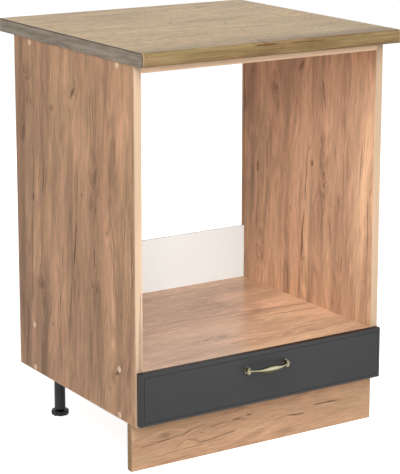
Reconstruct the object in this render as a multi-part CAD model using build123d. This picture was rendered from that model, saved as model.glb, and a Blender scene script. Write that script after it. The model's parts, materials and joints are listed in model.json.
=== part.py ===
from build123d import *
import math
import os

# Built-in oven housing: an open carcass on four adjustable legs, with a low drawer on roller
# runners under the oven shelf, a clip-on plinth and a postformed worktop.
# Millimetres. +X is the viewer's right, +Y runs to the wall, +Z is up, and Z = 0 is the floor.

# Carcass
CARCASS_WIDTH = 600.0
CARCASS_DEPTH = 500.0
BOARD = 16.0
BAND = 0.8
LEG_HEIGHT = 100.0
BAY_HEIGHT = 80.0
NICHE_HEIGHT = 600.0
RAIL_DEPTH = 130.0
REAR_RAIL_INSET = 5.0

# Back strip, held in grooves of the side panels
SHEET = 3.0
STRIP_INSET = 7.0
STRIP_ABOVE_SHELF = 124.0
GROOVE_DEPTH = 8.0
GROOVE_END_PLAY = 1.0
GROOVE_PLAY = 0.1

# Worktop
WORKTOP_THICKNESS = 28.0
FRONT_OVERHANG = 35.0
REAR_OVERHANG = 65.0
LEFT_OVERHANG = 1.0
RIGHT_OVERHANG = 19.0
NOSE_TOP_RADIUS = 8.0
NOSE_BOTTOM_RADIUS = 5.0
END_STRIP = 1.0

# Housing screws, their caps, and dowels
SCREW_HEAD = 10.0
SCREW_HEAD_DEPTH = 2.0
SCREW_SHANK = 7.0
SCREW_THREAD = 5.0
SCREW_LENGTH = 50.0
SCREW_SOCKET = 4.0
SCREW_SOCKET_DEPTH = 3.0
CAP_DIAMETER = 13.0
CAP_THICKNESS = 0.8
CAP_STUB = 2.5
DOWEL_DIAMETER = 8.0
DOWEL_LENGTH = 30.0
DOWEL_IN_PANEL = 11.0
DOWEL_SPACING = 32.0
HOLE_END_PLAY = 0.5
FIT = 0.05

# Small wood screws
WOOD_SCREW = 3.5
WOOD_SCREW_HEAD = 7.0
WOOD_SCREW_HEAD_HEIGHT = 1.2
WORKTOP_SCREW_LENGTH = 34.0
WORKTOP_SCREW_INSET = 60.0
LEG_SCREW_LENGTH = 15.0
RUNNER_SCREW_LENGTH = 13.0
CLIP_SCREW_LENGTH = 14.0
FRONT_SCREW_LENGTH = 28.0
FRONT_SCREW_INSET = 60.0

# Adjustable legs
LEG_SIDE_INSET = 45.0
LEG_SCREW_CLEARANCE = 1.75
LEG_PLATE = 54.0
LEG_PLATE_CORNER = 8.0
LEG_PLATE_THICKNESS = 3.0
LEG_SCREW_SPACING = 38.0
SOCKET_WALL = 3.0
SOCKET_DEPTH = 16.0
RIB_THICKNESS = 2.0
RIB_SETBACK = 4.0
RIB_STEP = 1.0
TUBE_DIAMETER = 24.0
STEM_DIAMETER = 14.0
STEM_PLAY = 0.1
STEM_IN_TUBE = 29.5
STEM_CHAMFER = 1.0
FOOT_DIAMETER = 38.0
FOOT_HEIGHT = 10.0
FOOT_EDGE = 1.5
FOOT_NECK = 20.0
FOOT_NECK_HEIGHT = 0.6
FOOT_GAP = 2.5
FOOT_SCALLOPS = 8
SCALLOP_DIAMETER = 9.0
SCALLOP_BITE = 1.8
FOOT_TRAVEL = 20.0

# Plinth and its clips
PLINTH_SETBACK = 19.0
PLINTH_GAP = 1.0
CLIP_REACH = 19.0
CLIP_WIDTH = 36.0
CLIP_HEIGHT = 36.0
CLIP_PLATE = 2.5
CLIP_ARM = 3.0
CLIP_ARM_HEIGHT = 14.0
CLIP_PLAY = 0.4
CLIP_LEVEL = 42.0
CLIP_SCREW_SPACING = 25.0

# Drawer front
FRONT_GAP = 1.0
FRONT_SIDE_MARGIN = 2.0
FRONT_LIFT = 4.0
FRONT_HEIGHT = 110.0
FRONT_THICKNESS = 16.0
FRONT_ARRIS = 1.2
BEVEL_WIDTH = 6.5
BEVEL_DEPTH = 2.5
VEIN_WIDTH = 1.5
VEIN_DEPTH = 0.8

# Drawer box
RUNNER_SPACE = 13.0
BOX_LIFT = 8.0
BOX_HEIGHT = 60.0
BOX_TO_STRIP = 41.0
BOX_BOTTOM_RISE = 8.0
BOX_GROOVE = 6.0
BOX_SCREW_LOW = 20.0
BOX_SCREW_HIGH = 45.0

# Roller runners
STEEL = 1.2
TRACK_RISE = 3.0
TRACK_WIDTH = 9.3
FLANGE_WIDTH = 9.8
FLANGE_GAP = 0.8
RUNNER_SETBACK = 3.0
RUNNER_FOOT_WIDTH = 14.0
ROLLER_DIAMETER = 20.0
ROLLER_WIDTH = 5.6
ROLLER_GROOVE = 0.6
ROLLER_RIM = 3.0
ROLLER_INSET = 14.0
ROLLING_GAP = 0.3
ROLLER_LIFT = 0.5
PIN_DIAMETER = 4.0
PIN_PLAY = 0.08
PIN_HEAD = 7.0
PIN_HEAD_HEIGHT = 0.9
PIN_SHOULDER = 1.3
RUNNER_SCREW_INSET = 40.0
RUNNER_KEPT_INSIDE = 110.0
STOP_LENGTH = 6.0
STOP_HEIGHT = 1.2
STOP_MARGIN = 0.5

# Bow handle. A bow station is a share of the bow's length and a share of its swelling, and a
# stem station is a depth in front of the drawer front and a share of the post's height.
HANDLE_DROP = 33.0
HANDLE_SPACING = 96.0
HANDLE_REACH = 27.0
BOW_THICKNESS = 4.4
BOW_START = 9.4
BOW_NECK_HEIGHT = 4.6
BOW_MIDDLE_HEIGHT = 18.0
BOW_STATIONS = [(0.0, 0.0), (0.12, 0.02), (0.3, 0.44), (0.5, 1.0), (0.7, 0.44), (0.88, 0.02), (1.0, 0.0)]
POST_HEIGHT = 16.4
POST_FLATNESS = 0.6
FOOT_DEPTH = 2.2
FOOT_ROUNDING = 0.8
STEM_STATIONS = [(0.5, 0.68), (4.8, 0.63), (7.2, 0.83), (9.6, 1.0), (11.7, 0.79), (12.8, 0.3)]
HANDLE_SCREW = 4.0
HANDLE_SCREW_HEAD = 8.0
HANDLE_SCREW_HEAD_HEIGHT = 2.0
HANDLE_SCREW_IN_POST = 7.0

# The origin is the middle of the whole object's outline on the floor.
WORKTOP_WIDTH = CARCASS_WIDTH + LEFT_OVERHANG + RIGHT_OVERHANG
HANDLE_PROJECTION = FRONT_GAP + FRONT_THICKNESS + HANDLE_REACH
FORWARD_REACH = max(HANDLE_PROJECTION, FRONT_OVERHANG)
LEFT = LEFT_OVERHANG - WORKTOP_WIDTH / 2
RIGHT = LEFT + CARCASS_WIDTH
MIDDLE = (LEFT + RIGHT) / 2
FRONT = (FORWARD_REACH - CARCASS_DEPTH - REAR_OVERHANG) / 2
BACK = FRONT + CARCASS_DEPTH
INNER_LEFT = LEFT + BOARD
INNER_RIGHT = RIGHT - BOARD
BOARD_FRONT = FRONT + BAND

# Levels, from the floor up
UNDERSIDE = LEG_HEIGHT
BAY_FLOOR = UNDERSIDE + BOARD
SHELF_UNDERSIDE = BAY_FLOOR + BAY_HEIGHT
SHELF_TOP = SHELF_UNDERSIDE + BOARD
RAIL_UNDERSIDE = SHELF_TOP + NICHE_HEIGHT
CARCASS_TOP = RAIL_UNDERSIDE + BOARD

# Back strip and the boards that stop in front of it
STRIP_BACK = BACK - STRIP_INSET
STRIP_FRONT = STRIP_BACK - SHEET
STRIP_TOP = SHELF_TOP + STRIP_ABOVE_SHELF
INNER_DEPTH_END = STRIP_FRONT - GROOVE_PLAY

# The two drilling lines, front and rear, that the carcass joints share
DRILL_FRONT = FRONT + RAIL_DEPTH / 2
DRILL_REAR = BACK - REAR_RAIL_INSET - RAIL_DEPTH / 2
DRILL_LINES = (DRILL_FRONT, DRILL_REAR)
JOINT_LEVELS = (UNDERSIDE + BOARD / 2, SHELF_UNDERSIDE + BOARD / 2, RAIL_UNDERSIDE + BOARD / 2)
JOINTS = [(y, z) for z in JOINT_LEVELS for y in DRILL_LINES]
DOWELS = [(DRILL_FRONT + DOWEL_SPACING, z) for z in JOINT_LEVELS]
DOWELS += [(DRILL_REAR - DOWEL_SPACING, z) for z in JOINT_LEVELS]

# Plinth and legs
PLINTH_FRONT = FRONT + PLINTH_SETBACK
PLINTH_BACK = PLINTH_FRONT + BOARD
LEG_FRONT_Y = PLINTH_BACK + CLIP_REACH + TUBE_DIAMETER / 2
LEG_SCREW_HALF = LEG_SCREW_SPACING / 2
SCREW_RADII = (WOOD_SCREW + SCREW_THREAD) / 2
LEG_REAR_Y = DRILL_REAR - LEG_SCREW_HALF - SCREW_RADII - LEG_SCREW_CLEARANCE
TUBE_FOOT = FOOT_HEIGHT + FOOT_GAP
STEM_LENGTH = FOOT_GAP + FOOT_TRAVEL + STEM_IN_TUBE
LEG_PLACES = {
    "front_left": (LEFT + LEG_SIDE_INSET, LEG_FRONT_Y),
    "front_right": (RIGHT - LEG_SIDE_INSET, LEG_FRONT_Y),
    "rear_left": (LEFT + LEG_SIDE_INSET, LEG_REAR_Y),
    "rear_right": (RIGHT - LEG_SIDE_INSET, LEG_REAR_Y),
}

# Drawer
FRONT_BACK_FACE = FRONT - FRONT_GAP
FRONT_FACE = FRONT_BACK_FACE - FRONT_THICKNESS
FRONT_BOTTOM = UNDERSIDE + FRONT_LIFT
FRONT_TOP = FRONT_BOTTOM + FRONT_HEIGHT
FRONT_LEFT = LEFT + FRONT_SIDE_MARGIN
FRONT_RIGHT = RIGHT - FRONT_SIDE_MARGIN
BOX_LEFT = INNER_LEFT + RUNNER_SPACE
BOX_RIGHT = INNER_RIGHT - RUNNER_SPACE
BOX_INNER_LEFT = BOX_LEFT + BOARD
BOX_INNER_RIGHT = BOX_RIGHT - BOARD
BOX_FRONT = FRONT_BACK_FACE
BOX_BACK = STRIP_FRONT - BOX_TO_STRIP
BOX_LENGTH = BOX_BACK - BOX_FRONT
BOX_FLOOR = BAY_FLOOR + BOX_LIFT
BOX_TOP = BOX_FLOOR + BOX_HEIGHT
SHEET_UNDERSIDE = BOX_FLOOR + BOX_BOTTOM_RISE
SHEET_TOP = SHEET_UNDERSIDE + SHEET
BACK_BOARD_FOOT = SHEET_TOP + GROOVE_PLAY
BOX_SCREW_LEVELS = (BOX_FLOOR + BOX_SCREW_LOW, BOX_FLOOR + BOX_SCREW_HIGH)
HANDLE_LEVEL = FRONT_TOP - HANDLE_DROP

# Roller runners: the drawer's rear roller runs in the cabinet channel, and the drawer's own
# flange runs over the roller at the cabinet channel's front end.
ROLLER_RADIUS = ROLLER_DIAMETER / 2
TRACK = BOX_FLOOR + TRACK_RISE
REAR_ROLLER_LEVEL = TRACK + ROLLING_GAP + ROLLER_RADIUS
FLANGE_UNDERSIDE = TRACK + ROLLING_GAP + ROLLER_DIAMETER + ROLLER_LIFT
FLANGE_TOP = FLANGE_UNDERSIDE + STEEL
FRONT_ROLLER_LEVEL = FLANGE_UNDERSIDE - ROLLING_GAP - ROLLER_RADIUS
CHANNEL_ROOF = FLANGE_TOP + FLANGE_GAP
CHANNEL_TOP = CHANNEL_ROOF + STEEL
RUNNER_FRONT = FRONT + RUNNER_SETBACK
RUNNER_BACK = RUNNER_FRONT + BOX_LENGTH
FRONT_ROLLER_Y = RUNNER_FRONT + ROLLER_INSET
REAR_ROLLER_Y = BOX_BACK - ROLLER_INSET
DRAWER_TRAVEL = BOX_LENGTH - RUNNER_KEPT_INSIDE
RUNNER_SCREW_LEVEL = (TRACK + CHANNEL_ROOF) / 2
RUNNER_SCREW_YS = [
    RUNNER_FRONT + RUNNER_SCREW_INSET,
    (RUNNER_FRONT + RUNNER_BACK) / 2,
    RUNNER_BACK - RUNNER_SCREW_INSET,
]

ALONG_X = (1, 0, 0)
ALONG_Y = (0, 1, 0)
ALONG_Z = (0, 0, 1)
BASE = (Align.CENTER, Align.CENTER, Align.MIN)


def block(x_from, x_to, y_from, y_to, z_from, z_to):
    """A square-edged board between two corners."""
    middle = Pos((x_from + x_to) / 2, (y_from + y_to) / 2, (z_from + z_to) / 2)
    return middle * Box(x_to - x_from, y_to - y_from, z_to - z_from)


def rod(start, direction, diameter, length):
    """A round bar that grows from start along direction."""
    return Plane(origin=start, z_dir=direction) * Cylinder(diameter / 2, length, align=BASE)


def mirrored(shape):
    """The same piece on the other side of the carcass."""
    return shape.mirror(Plane.YZ.offset(MIDDLE))


def save(name, shapes):
    """Writes one node: a piece, or a group of like pieces that stay separate solids."""
    group = shapes if isinstance(shapes, list) else [shapes]
    solids = [solid for shape in group for solid in shape.solids()]
    node = solids[0] if len(solids) == 1 else Compound(solids)
    node.label = name
    export_step(node, f"parts/{name}.step")


def save_pair(name, left):
    """Writes a left-hand piece, or group, and its mirror image."""
    group = left if isinstance(left, list) else [left]
    save(f"{name}_left", group)
    save(f"{name}_right", [mirrored(shape) for shape in group])


def housing_screw(start, direction, play=0.0):
    """A housing screw flush with the board it enters, or with play the stepped hole for it."""
    head = Cone(SCREW_HEAD / 2 + play, SCREW_SHANK / 2 + play, SCREW_HEAD_DEPTH, align=BASE)
    shank = Cylinder(SCREW_SHANK / 2 + play, BOARD - FIT, align=BASE)
    length = SCREW_LENGTH + (HOLE_END_PLAY if play else 0)
    thread = Cylinder(SCREW_THREAD / 2 + play, length, align=BASE)
    return Plane(origin=start, z_dir=direction) * (head + shank + thread)


def housing_screw_with_socket(start, direction):
    """A housing screw with the hexagon socket that it is driven by."""
    hexagon = RegularPolygon(SCREW_SOCKET / 2, 6, major_radius=False)
    socket = Plane(origin=start, z_dir=direction) * extrude(hexagon, SCREW_SOCKET_DEPTH)
    return housing_screw(start, direction) - socket


def screw_cap(start, direction):
    """A press-in cap: a thin disc on the panel with a stub in the screw's socket."""
    disc = Cylinder(CAP_DIAMETER / 2, CAP_THICKNESS, align=BASE)
    disc = chamfer(disc.faces().sort_by(Axis.Z)[-1].edges(), CAP_THICKNESS / 2)
    stub = Pos(0, 0, -CAP_STUB) * Cylinder(SCREW_SOCKET / 2 - FIT, CAP_STUB, align=BASE)
    outward = tuple(-part for part in direction)
    return Plane(origin=start, z_dir=outward) * (disc + stub)


def wood_screw(seat, direction, length):
    """A flat-headed screw: its head stands on the seat and its shaft runs along direction."""
    shaft = Cylinder(WOOD_SCREW / 2, length, align=BASE)
    head = Pos(0, 0, -WOOD_SCREW_HEAD_HEIGHT) * Cylinder(
        WOOD_SCREW_HEAD / 2, WOOD_SCREW_HEAD_HEIGHT, align=BASE
    )
    return Plane(origin=seat, z_dir=direction) * (head + shaft)


def wood_screw_hole(seat, direction, length):
    """The hole for a wood screw's shaft."""
    return rod(seat, direction, WOOD_SCREW + 2 * FIT, length + HOLE_END_PLAY)


def carcass_screw_places():
    """Where the housing screws enter the left panel, from outside."""
    return [(LEFT, y, z) for y, z in JOINTS]


def dowel_holes_left():
    """Dowel holes, cut through the joint between the left panel and the boards it carries."""
    depth = DOWEL_LENGTH + 2 * HOLE_END_PLAY
    start = INNER_LEFT - DOWEL_IN_PANEL - HOLE_END_PLAY
    return [rod((start, y, z), ALONG_X, DOWEL_DIAMETER + 2 * FIT, depth) for y, z in DOWELS]


def carcass_holes_left():
    """Every housing screw and dowel hole at the left end of the cross boards."""
    screws = [housing_screw(place, ALONG_X, FIT) for place in carcass_screw_places()]
    return screws + dowel_holes_left()


def cabinet_runner_screw_seats():
    """Heads of the screws that hold the left cabinet runner, on the runner's web."""
    return [(INNER_LEFT + STEEL, y, RUNNER_SCREW_LEVEL) for y in RUNNER_SCREW_YS]


def side_panel():
    """Left side panel with its back-strip groove and its drillings."""
    panel = block(LEFT, INNER_LEFT, BOARD_FRONT, BACK, UNDERSIDE, CARCASS_TOP)
    groove = block(
        INNER_LEFT - GROOVE_DEPTH,
        INNER_LEFT,
        STRIP_FRONT - GROOVE_PLAY,
        STRIP_BACK + GROOVE_PLAY,
        UNDERSIDE,
        CARCASS_TOP,
    )
    inward = (-1, 0, 0)
    pilots = [
        wood_screw_hole(seat, inward, RUNNER_SCREW_LENGTH) for seat in cabinet_runner_screw_seats()
    ]
    return panel - [groove] - carcass_holes_left() - pilots


def cross_board(z_from, y_from, y_to, holes):
    """A board between the side panels, drilled at both ends."""
    board = block(INNER_LEFT, INNER_RIGHT, y_from, y_to, z_from, z_from + BOARD)
    near = [hole for hole in holes if z_from < hole.center().Z < z_from + BOARD]
    near = [hole for hole in near if y_from < hole.center().Y < y_to]
    return board - near - [mirrored(hole) for hole in near]


def leg_screw_seats():
    """Heads of the leg plates' screws, seen from below."""
    half = LEG_SCREW_HALF
    level = UNDERSIDE - LEG_PLATE_THICKNESS
    corners = [(-half, -half), (half, -half), (-half, half), (half, half)]
    return [(x + dx, y + dy, level) for x, y in LEG_PLACES.values() for dx, dy in corners]


def bottom_panel():
    """Bottom panel, also drilled for the leg plates."""
    panel = cross_board(UNDERSIDE, BOARD_FRONT, INNER_DEPTH_END, carcass_holes_left())
    return panel - [wood_screw_hole(seat, ALONG_Z, LEG_SCREW_LENGTH) for seat in leg_screw_seats()]


def oven_shelf():
    """Shelf that carries the oven."""
    return cross_board(SHELF_UNDERSIDE, BOARD_FRONT, INNER_DEPTH_END, carcass_holes_left())


def worktop_screw_seats():
    """Heads of the screws that pull the worktop down, under the rails."""
    xs = (INNER_LEFT + WORKTOP_SCREW_INSET, INNER_RIGHT - WORKTOP_SCREW_INSET)
    return [(x, y, RAIL_UNDERSIDE) for y in DRILL_LINES for x in xs]


def worktop_screw_holes():
    """Holes for the worktop screws, through rail and worktop alike."""
    return [wood_screw_hole(seat, ALONG_Z, WORKTOP_SCREW_LENGTH) for seat in worktop_screw_seats()]


def front_rail():
    """Flat rail under the worktop's front."""
    rear = FRONT + RAIL_DEPTH
    rail = cross_board(RAIL_UNDERSIDE, BOARD_FRONT, rear, carcass_holes_left())
    return rail - worktop_screw_holes()


def rear_rail():
    """Flat rail under the worktop's rear."""
    rear = BACK - REAR_RAIL_INSET
    rail = cross_board(RAIL_UNDERSIDE, rear - RAIL_DEPTH, rear, carcass_holes_left())
    return rail - worktop_screw_holes()


def back_strip():
    """Low hardboard back, between the grooves of the side panels."""
    reach = GROOVE_DEPTH - GROOVE_END_PLAY
    return block(
        INNER_LEFT - reach, INNER_RIGHT + reach, STRIP_FRONT, STRIP_BACK, UNDERSIDE, STRIP_TOP
    )


def side_edge_band():
    """Edge band on the left panel's front edge."""
    return block(LEFT, INNER_LEFT, FRONT, BOARD_FRONT, UNDERSIDE, CARCASS_TOP)


def cross_edge_band(z_from):
    """Edge band on the front edge of a board between the side panels."""
    return block(INNER_LEFT, INNER_RIGHT, FRONT, BOARD_FRONT, z_from, z_from + BOARD)


def worktop_slice(x_from, x_to):
    """A length of the worktop's postformed section."""
    length = FRONT_OVERHANG + CARCASS_DEPTH + REAR_OVERHANG
    section = Pos(length / 2, WORKTOP_THICKNESS / 2) * Rectangle(length, WORKTOP_THICKNESS)
    nose = section.vertices().group_by(Axis.X)[0].sort_by(Axis.Y)
    section = fillet(nose[-1], NOSE_TOP_RADIUS)
    nose = section.vertices().group_by(Axis.X)[0].sort_by(Axis.Y)
    section = fillet(nose[0], NOSE_BOTTOM_RADIUS)
    start = Plane(origin=(x_from, FRONT - FRONT_OVERHANG, CARCASS_TOP), x_dir=ALONG_Y, z_dir=ALONG_X)
    return start * extrude(section, x_to - x_from)


def leg_socket(x, y):
    """Plate screwed under the bottom panel, with a ribbed socket for the tube."""
    plate = extrude(RectangleRounded(LEG_PLATE, LEG_PLATE, LEG_PLATE_CORNER), -LEG_PLATE_THICKNESS)
    outer = TUBE_DIAMETER / 2 + SOCKET_WALL
    wall = Pos(0, 0, -SOCKET_DEPTH) * Cylinder(outer, SOCKET_DEPTH, align=BASE)
    rib_reach = LEG_PLATE / 2 - RIB_SETBACK
    start = outer - SOCKET_WALL / 2
    rib = Plane.XZ * make_face(
        Polyline(
            (start, -LEG_PLATE_THICKNESS / 2),
            (rib_reach, -LEG_PLATE_THICKNESS / 2),
            (rib_reach, -LEG_PLATE_THICKNESS - RIB_STEP),
            (outer, -SOCKET_DEPTH + RIB_STEP),
            (start, -SOCKET_DEPTH + RIB_STEP),
            close=True,
        )
    )
    rib = extrude(rib, RIB_THICKNESS / 2, both=True)
    ribs = [Rot(0, 0, 90 * turn) * rib for turn in range(4)]
    bore = Pos(0, 0, -SOCKET_DEPTH) * Cylinder(TUBE_DIAMETER / 2 + FIT, SOCKET_DEPTH, align=BASE)
    screw_hole = Pos(0, 0, -LEG_PLATE_THICKNESS) * Cylinder(
        WOOD_SCREW / 2 + FIT, LEG_PLATE_THICKNESS, align=BASE
    )
    holes = [place * screw_hole for place in GridLocations(LEG_SCREW_SPACING, LEG_SCREW_SPACING, 2, 2)]
    return Pos(x, y, UNDERSIDE) * (plate + wall + ribs - bore - holes)


def leg_tube(x, y):
    """Plastic tube between socket and foot, bored for the foot's threaded stem."""
    tube = Cylinder(TUBE_DIAMETER / 2, UNDERSIDE - TUBE_FOOT, align=BASE)
    depth = FOOT_HEIGHT + STEM_LENGTH - TUBE_FOOT + FOOT_GAP + HOLE_END_PLAY
    bore = Cylinder(STEM_DIAMETER / 2 + STEM_PLAY, depth, align=BASE)
    return Pos(x, y, TUBE_FOOT) * (tube - bore)


def leg_foot(x, y):
    """Levelling foot: a scalloped disc that is turned by hand, on its stem."""
    disc = Cylinder(FOOT_DIAMETER / 2, FOOT_HEIGHT, align=BASE)
    disc = chamfer(disc.edges().group_by(Axis.Z)[-1], FOOT_EDGE)
    bite = FOOT_DIAMETER / 2 + SCALLOP_DIAMETER / 2 - SCALLOP_BITE
    scallop = Cylinder(SCALLOP_DIAMETER / 2, FOOT_HEIGHT, align=BASE)
    disc -= [place * scallop for place in PolarLocations(bite, FOOT_SCALLOPS)]
    neck = Pos(0, 0, FOOT_HEIGHT) * Cone(
        FOOT_NECK / 2, STEM_DIAMETER / 2, FOOT_NECK_HEIGHT, align=BASE
    )
    stem = Pos(0, 0, FOOT_HEIGHT) * Cylinder(STEM_DIAMETER / 2, STEM_LENGTH, align=BASE)
    stem = chamfer(stem.edges().group_by(Axis.Z)[-1], STEM_CHAMFER)
    return Pos(x, y, 0) * (disc + neck + stem)


def clip_screw_seats(x):
    """Heads of the two screws through a plinth clip's plate."""
    half = CLIP_SCREW_SPACING / 2
    return [(x, PLINTH_BACK + CLIP_PLATE, CLIP_LEVEL + rise) for rise in (-half, half)]


def plinth():
    """Plinth board, drilled for its clips."""
    board = block(LEFT, RIGHT, PLINTH_FRONT, PLINTH_BACK, PLINTH_GAP, UNDERSIDE - PLINTH_GAP)
    x = LEFT + LEG_SIDE_INSET
    forward = (0, -1, 0)
    holes = [wood_screw_hole(seat, forward, CLIP_SCREW_LENGTH) for seat in clip_screw_seats(x)]
    return board - holes - [mirrored(hole) for hole in holes]


def plinth_clip():
    """Left plinth clip: a plate on the plinth with a fork that slips round the leg's tube."""
    x = LEFT + LEG_SIDE_INSET
    half = CLIP_HEIGHT / 2
    plate = block(
        x - CLIP_WIDTH / 2,
        x + CLIP_WIDTH / 2,
        PLINTH_BACK,
        PLINTH_BACK + CLIP_PLATE,
        CLIP_LEVEL - half,
        CLIP_LEVEL + half,
    )
    inner = TUBE_DIAMETER / 2 + CLIP_PLAY
    outer = inner + CLIP_ARM
    arm_half = CLIP_ARM_HEIGHT / 2
    fork = block(
        x - outer,
        x + outer,
        PLINTH_BACK + CLIP_PLATE,
        LEG_FRONT_Y + inner,
        CLIP_LEVEL - arm_half,
        CLIP_LEVEL + arm_half,
    )
    slot = block(
        x - inner,
        x + inner,
        LEG_FRONT_Y,
        LEG_FRONT_Y + inner,
        CLIP_LEVEL - arm_half,
        CLIP_LEVEL + arm_half,
    )
    seat = rod((x, LEG_FRONT_Y, CLIP_LEVEL - arm_half), ALONG_Z, 2 * inner, CLIP_ARM_HEIGHT)
    forward = (0, -1, 0)
    holes = [wood_screw_hole(head, forward, CLIP_PLATE) for head in clip_screw_seats(x)]
    return plate + (fork - slot - seat) - holes


def drawer_front():
    """Foil-wrapped drawer front: a soft arris, a bevelled border and a fine vein inside it."""
    width = FRONT_RIGHT - FRONT_LEFT
    face = Plane(
        origin=(MIDDLE, FRONT_BACK_FACE, (FRONT_BOTTOM + FRONT_TOP) / 2),
        x_dir=ALONG_X,
        z_dir=(0, -1, 0),
    )
    outline = Rectangle(width, FRONT_HEIGHT)
    field = Rectangle(width - 2 * BEVEL_WIDTH, FRONT_HEIGHT - 2 * BEVEL_WIDTH)
    shoulder = FRONT_THICKNESS - BEVEL_DEPTH
    body = extrude(outline, shoulder)
    crown = loft([Pos(0, 0, shoulder) * outline, Pos(0, 0, FRONT_THICKNESS) * field], ruled=True)
    board = body + crown
    arrises = board.edges().filter_by_position(Axis.Z, shoulder, shoulder)
    board = fillet(arrises, FRONT_ARRIS)
    inset = 2 * (BEVEL_WIDTH + VEIN_WIDTH)
    vein = field - Rectangle(width - inset, FRONT_HEIGHT - inset)
    vein = Pos(0, 0, FRONT_THICKNESS - VEIN_DEPTH) * extrude(vein, VEIN_DEPTH)
    panel = face * (board - vein)
    return panel - front_screw_holes() - handle_screw_holes()


def front_screw_seats():
    """Heads of the screws that fix the drawer front, inside the box."""
    xs = (BOX_INNER_LEFT + FRONT_SCREW_INSET, BOX_INNER_RIGHT - FRONT_SCREW_INSET)
    return [(x, BOX_FRONT + BOARD, z) for x in xs for z in BOX_SCREW_LEVELS]


def front_screw_holes():
    """Holes for the front screws, through the box's front board and into the drawer front."""
    forward = (0, -1, 0)
    return [wood_screw_hole(seat, forward, FRONT_SCREW_LENGTH) for seat in front_screw_seats()]


def handle_places():
    """The middle of each handle post on the drawer front's face."""
    half = HANDLE_SPACING / 2
    return [(MIDDLE - half, FRONT_FACE, HANDLE_LEVEL), (MIDDLE + half, FRONT_FACE, HANDLE_LEVEL)]


def handle_screw_holes():
    """Holes for the handle screws, through both front boards and into the posts."""
    start = BOX_FRONT + BOARD
    length = start - FRONT_FACE + HANDLE_SCREW_IN_POST + HOLE_END_PLAY
    diameter = HANDLE_SCREW + 2 * FIT
    return [rod((x, start, z), (0, -1, 0), diameter, length) for x, y, z in handle_places()]


def handle_screw(x, z):
    """Machine screw from inside the drawer into a handle post."""
    start = BOX_FRONT + BOARD
    length = start - FRONT_FACE + HANDLE_SCREW_IN_POST
    shaft = rod((x, start, z), (0, -1, 0), HANDLE_SCREW, length)
    return shaft + rod((x, start, z), ALONG_Y, HANDLE_SCREW_HEAD, HANDLE_SCREW_HEAD_HEIGHT)


def handle_bow():
    """A lens-shaped bow, thin in its necks and leaf-shaped from the front."""
    half = HANDLE_SPACING / 2
    crest = HANDLE_REACH - BOW_THICKNESS / 2
    route = ThreePointArc((-half, -BOW_START), (0, -crest), (half, -BOW_START))
    sections = []
    for share, swelling in BOW_STATIONS:
        height = BOW_NECK_HEIGHT + swelling * (BOW_MIDDLE_HEIGHT - BOW_NECK_HEIGHT)
        across = Plane(origin=route @ share, x_dir=ALONG_Z, z_dir=route % share)
        sections.append(across * Ellipse(height / 2, BOW_THICKNESS / 2))
    return loft(sections)


def handle_post():
    """An oval foot on the drawer front, a waisted stem and the knob that holds the bow."""
    foot = extrude(Ellipse(POST_HEIGHT / 2, POST_FLATNESS * POST_HEIGHT / 2), FOOT_DEPTH)
    foot = fillet(foot.edges().sort_by(Axis.Z)[-1], FOOT_ROUNDING)
    ovals = []
    for depth, share in STEM_STATIONS:
        half = share * POST_HEIGHT / 2
        ovals.append(Pos(0, 0, depth) * Ellipse(half, POST_FLATNESS * half))
    return Plane(origin=(0, 0, 0), x_dir=ALONG_Z, z_dir=(0, -1, 0)) * (foot + loft(ovals))


def handle():
    """Cast bow handle: the bow and its two posts in one piece, tapped for its screws."""
    posts = [Pos(side * HANDLE_SPACING / 2, 0, 0) * handle_post() for side in (-1, 1)]
    casting = Pos(MIDDLE, FRONT_FACE, HANDLE_LEVEL) * (handle_bow() + posts)
    return casting - handle_screw_holes()


def box_screw_places():
    """Where the housing screws enter the drawer's left side."""
    ys = (BOX_FRONT + BOARD / 2, BOX_BACK - BOARD / 2)
    return [(BOX_LEFT, y, z) for y in ys for z in BOX_SCREW_LEVELS]


def box_screw_holes():
    """Stepped holes for the drawer's own housing screws, left end."""
    return [housing_screw(place, ALONG_X, FIT) for place in box_screw_places()]


def box_sheet_groove():
    """Groove for the drawer's bottom sheet, in the sides and the front board."""
    return block(
        BOX_INNER_LEFT - BOX_GROOVE,
        BOX_INNER_RIGHT + BOX_GROOVE,
        BOX_FRONT + BOARD - BOX_GROOVE,
        BOX_BACK,
        SHEET_UNDERSIDE - GROOVE_PLAY,
        SHEET_TOP + GROOVE_PLAY,
    )


def drawer_runner_screw_seats():
    """Heads of the screws that hold the left drawer runner to the drawer's side."""
    return [(BOX_LEFT - STEEL, y, RUNNER_SCREW_LEVEL) for y in RUNNER_SCREW_YS]


def drawer_side():
    """Left side of the drawer box."""
    side = block(BOX_LEFT, BOX_INNER_LEFT, BOX_FRONT, BOX_BACK, BOX_FLOOR, BOX_TOP)
    pilots = [
        wood_screw_hole(seat, ALONG_X, RUNNER_SCREW_LENGTH) for seat in drawer_runner_screw_seats()
    ]
    return side - box_sheet_groove() - box_screw_holes() - pilots


def drawer_inner_front():
    """Front board of the drawer box, behind the drawer front."""
    board = block(
        BOX_INNER_LEFT, BOX_INNER_RIGHT, BOX_FRONT, BOX_FRONT + BOARD, BOX_FLOOR, BOX_TOP
    )
    ends = box_screw_holes()
    ends += [mirrored(hole) for hole in ends]
    return board - box_sheet_groove() - ends - front_screw_holes() - handle_screw_holes()


def drawer_back():
    """Back board of the drawer box, standing on the bottom sheet."""
    board = block(
        BOX_INNER_LEFT, BOX_INNER_RIGHT, BOX_BACK - BOARD, BOX_BACK, BACK_BOARD_FOOT, BOX_TOP
    )
    ends = box_screw_holes()
    return board - ends - [mirrored(hole) for hole in ends]


def drawer_bottom():
    """Hardboard bottom sheet, pushed in from behind under the back board."""
    reach = BOX_GROOVE - GROOVE_END_PLAY
    return block(
        BOX_INNER_LEFT - reach,
        BOX_INNER_RIGHT + reach,
        BOX_FRONT + BOARD - reach,
        BOX_BACK,
        SHEET_UNDERSIDE,
        SHEET_TOP,
    )


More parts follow.
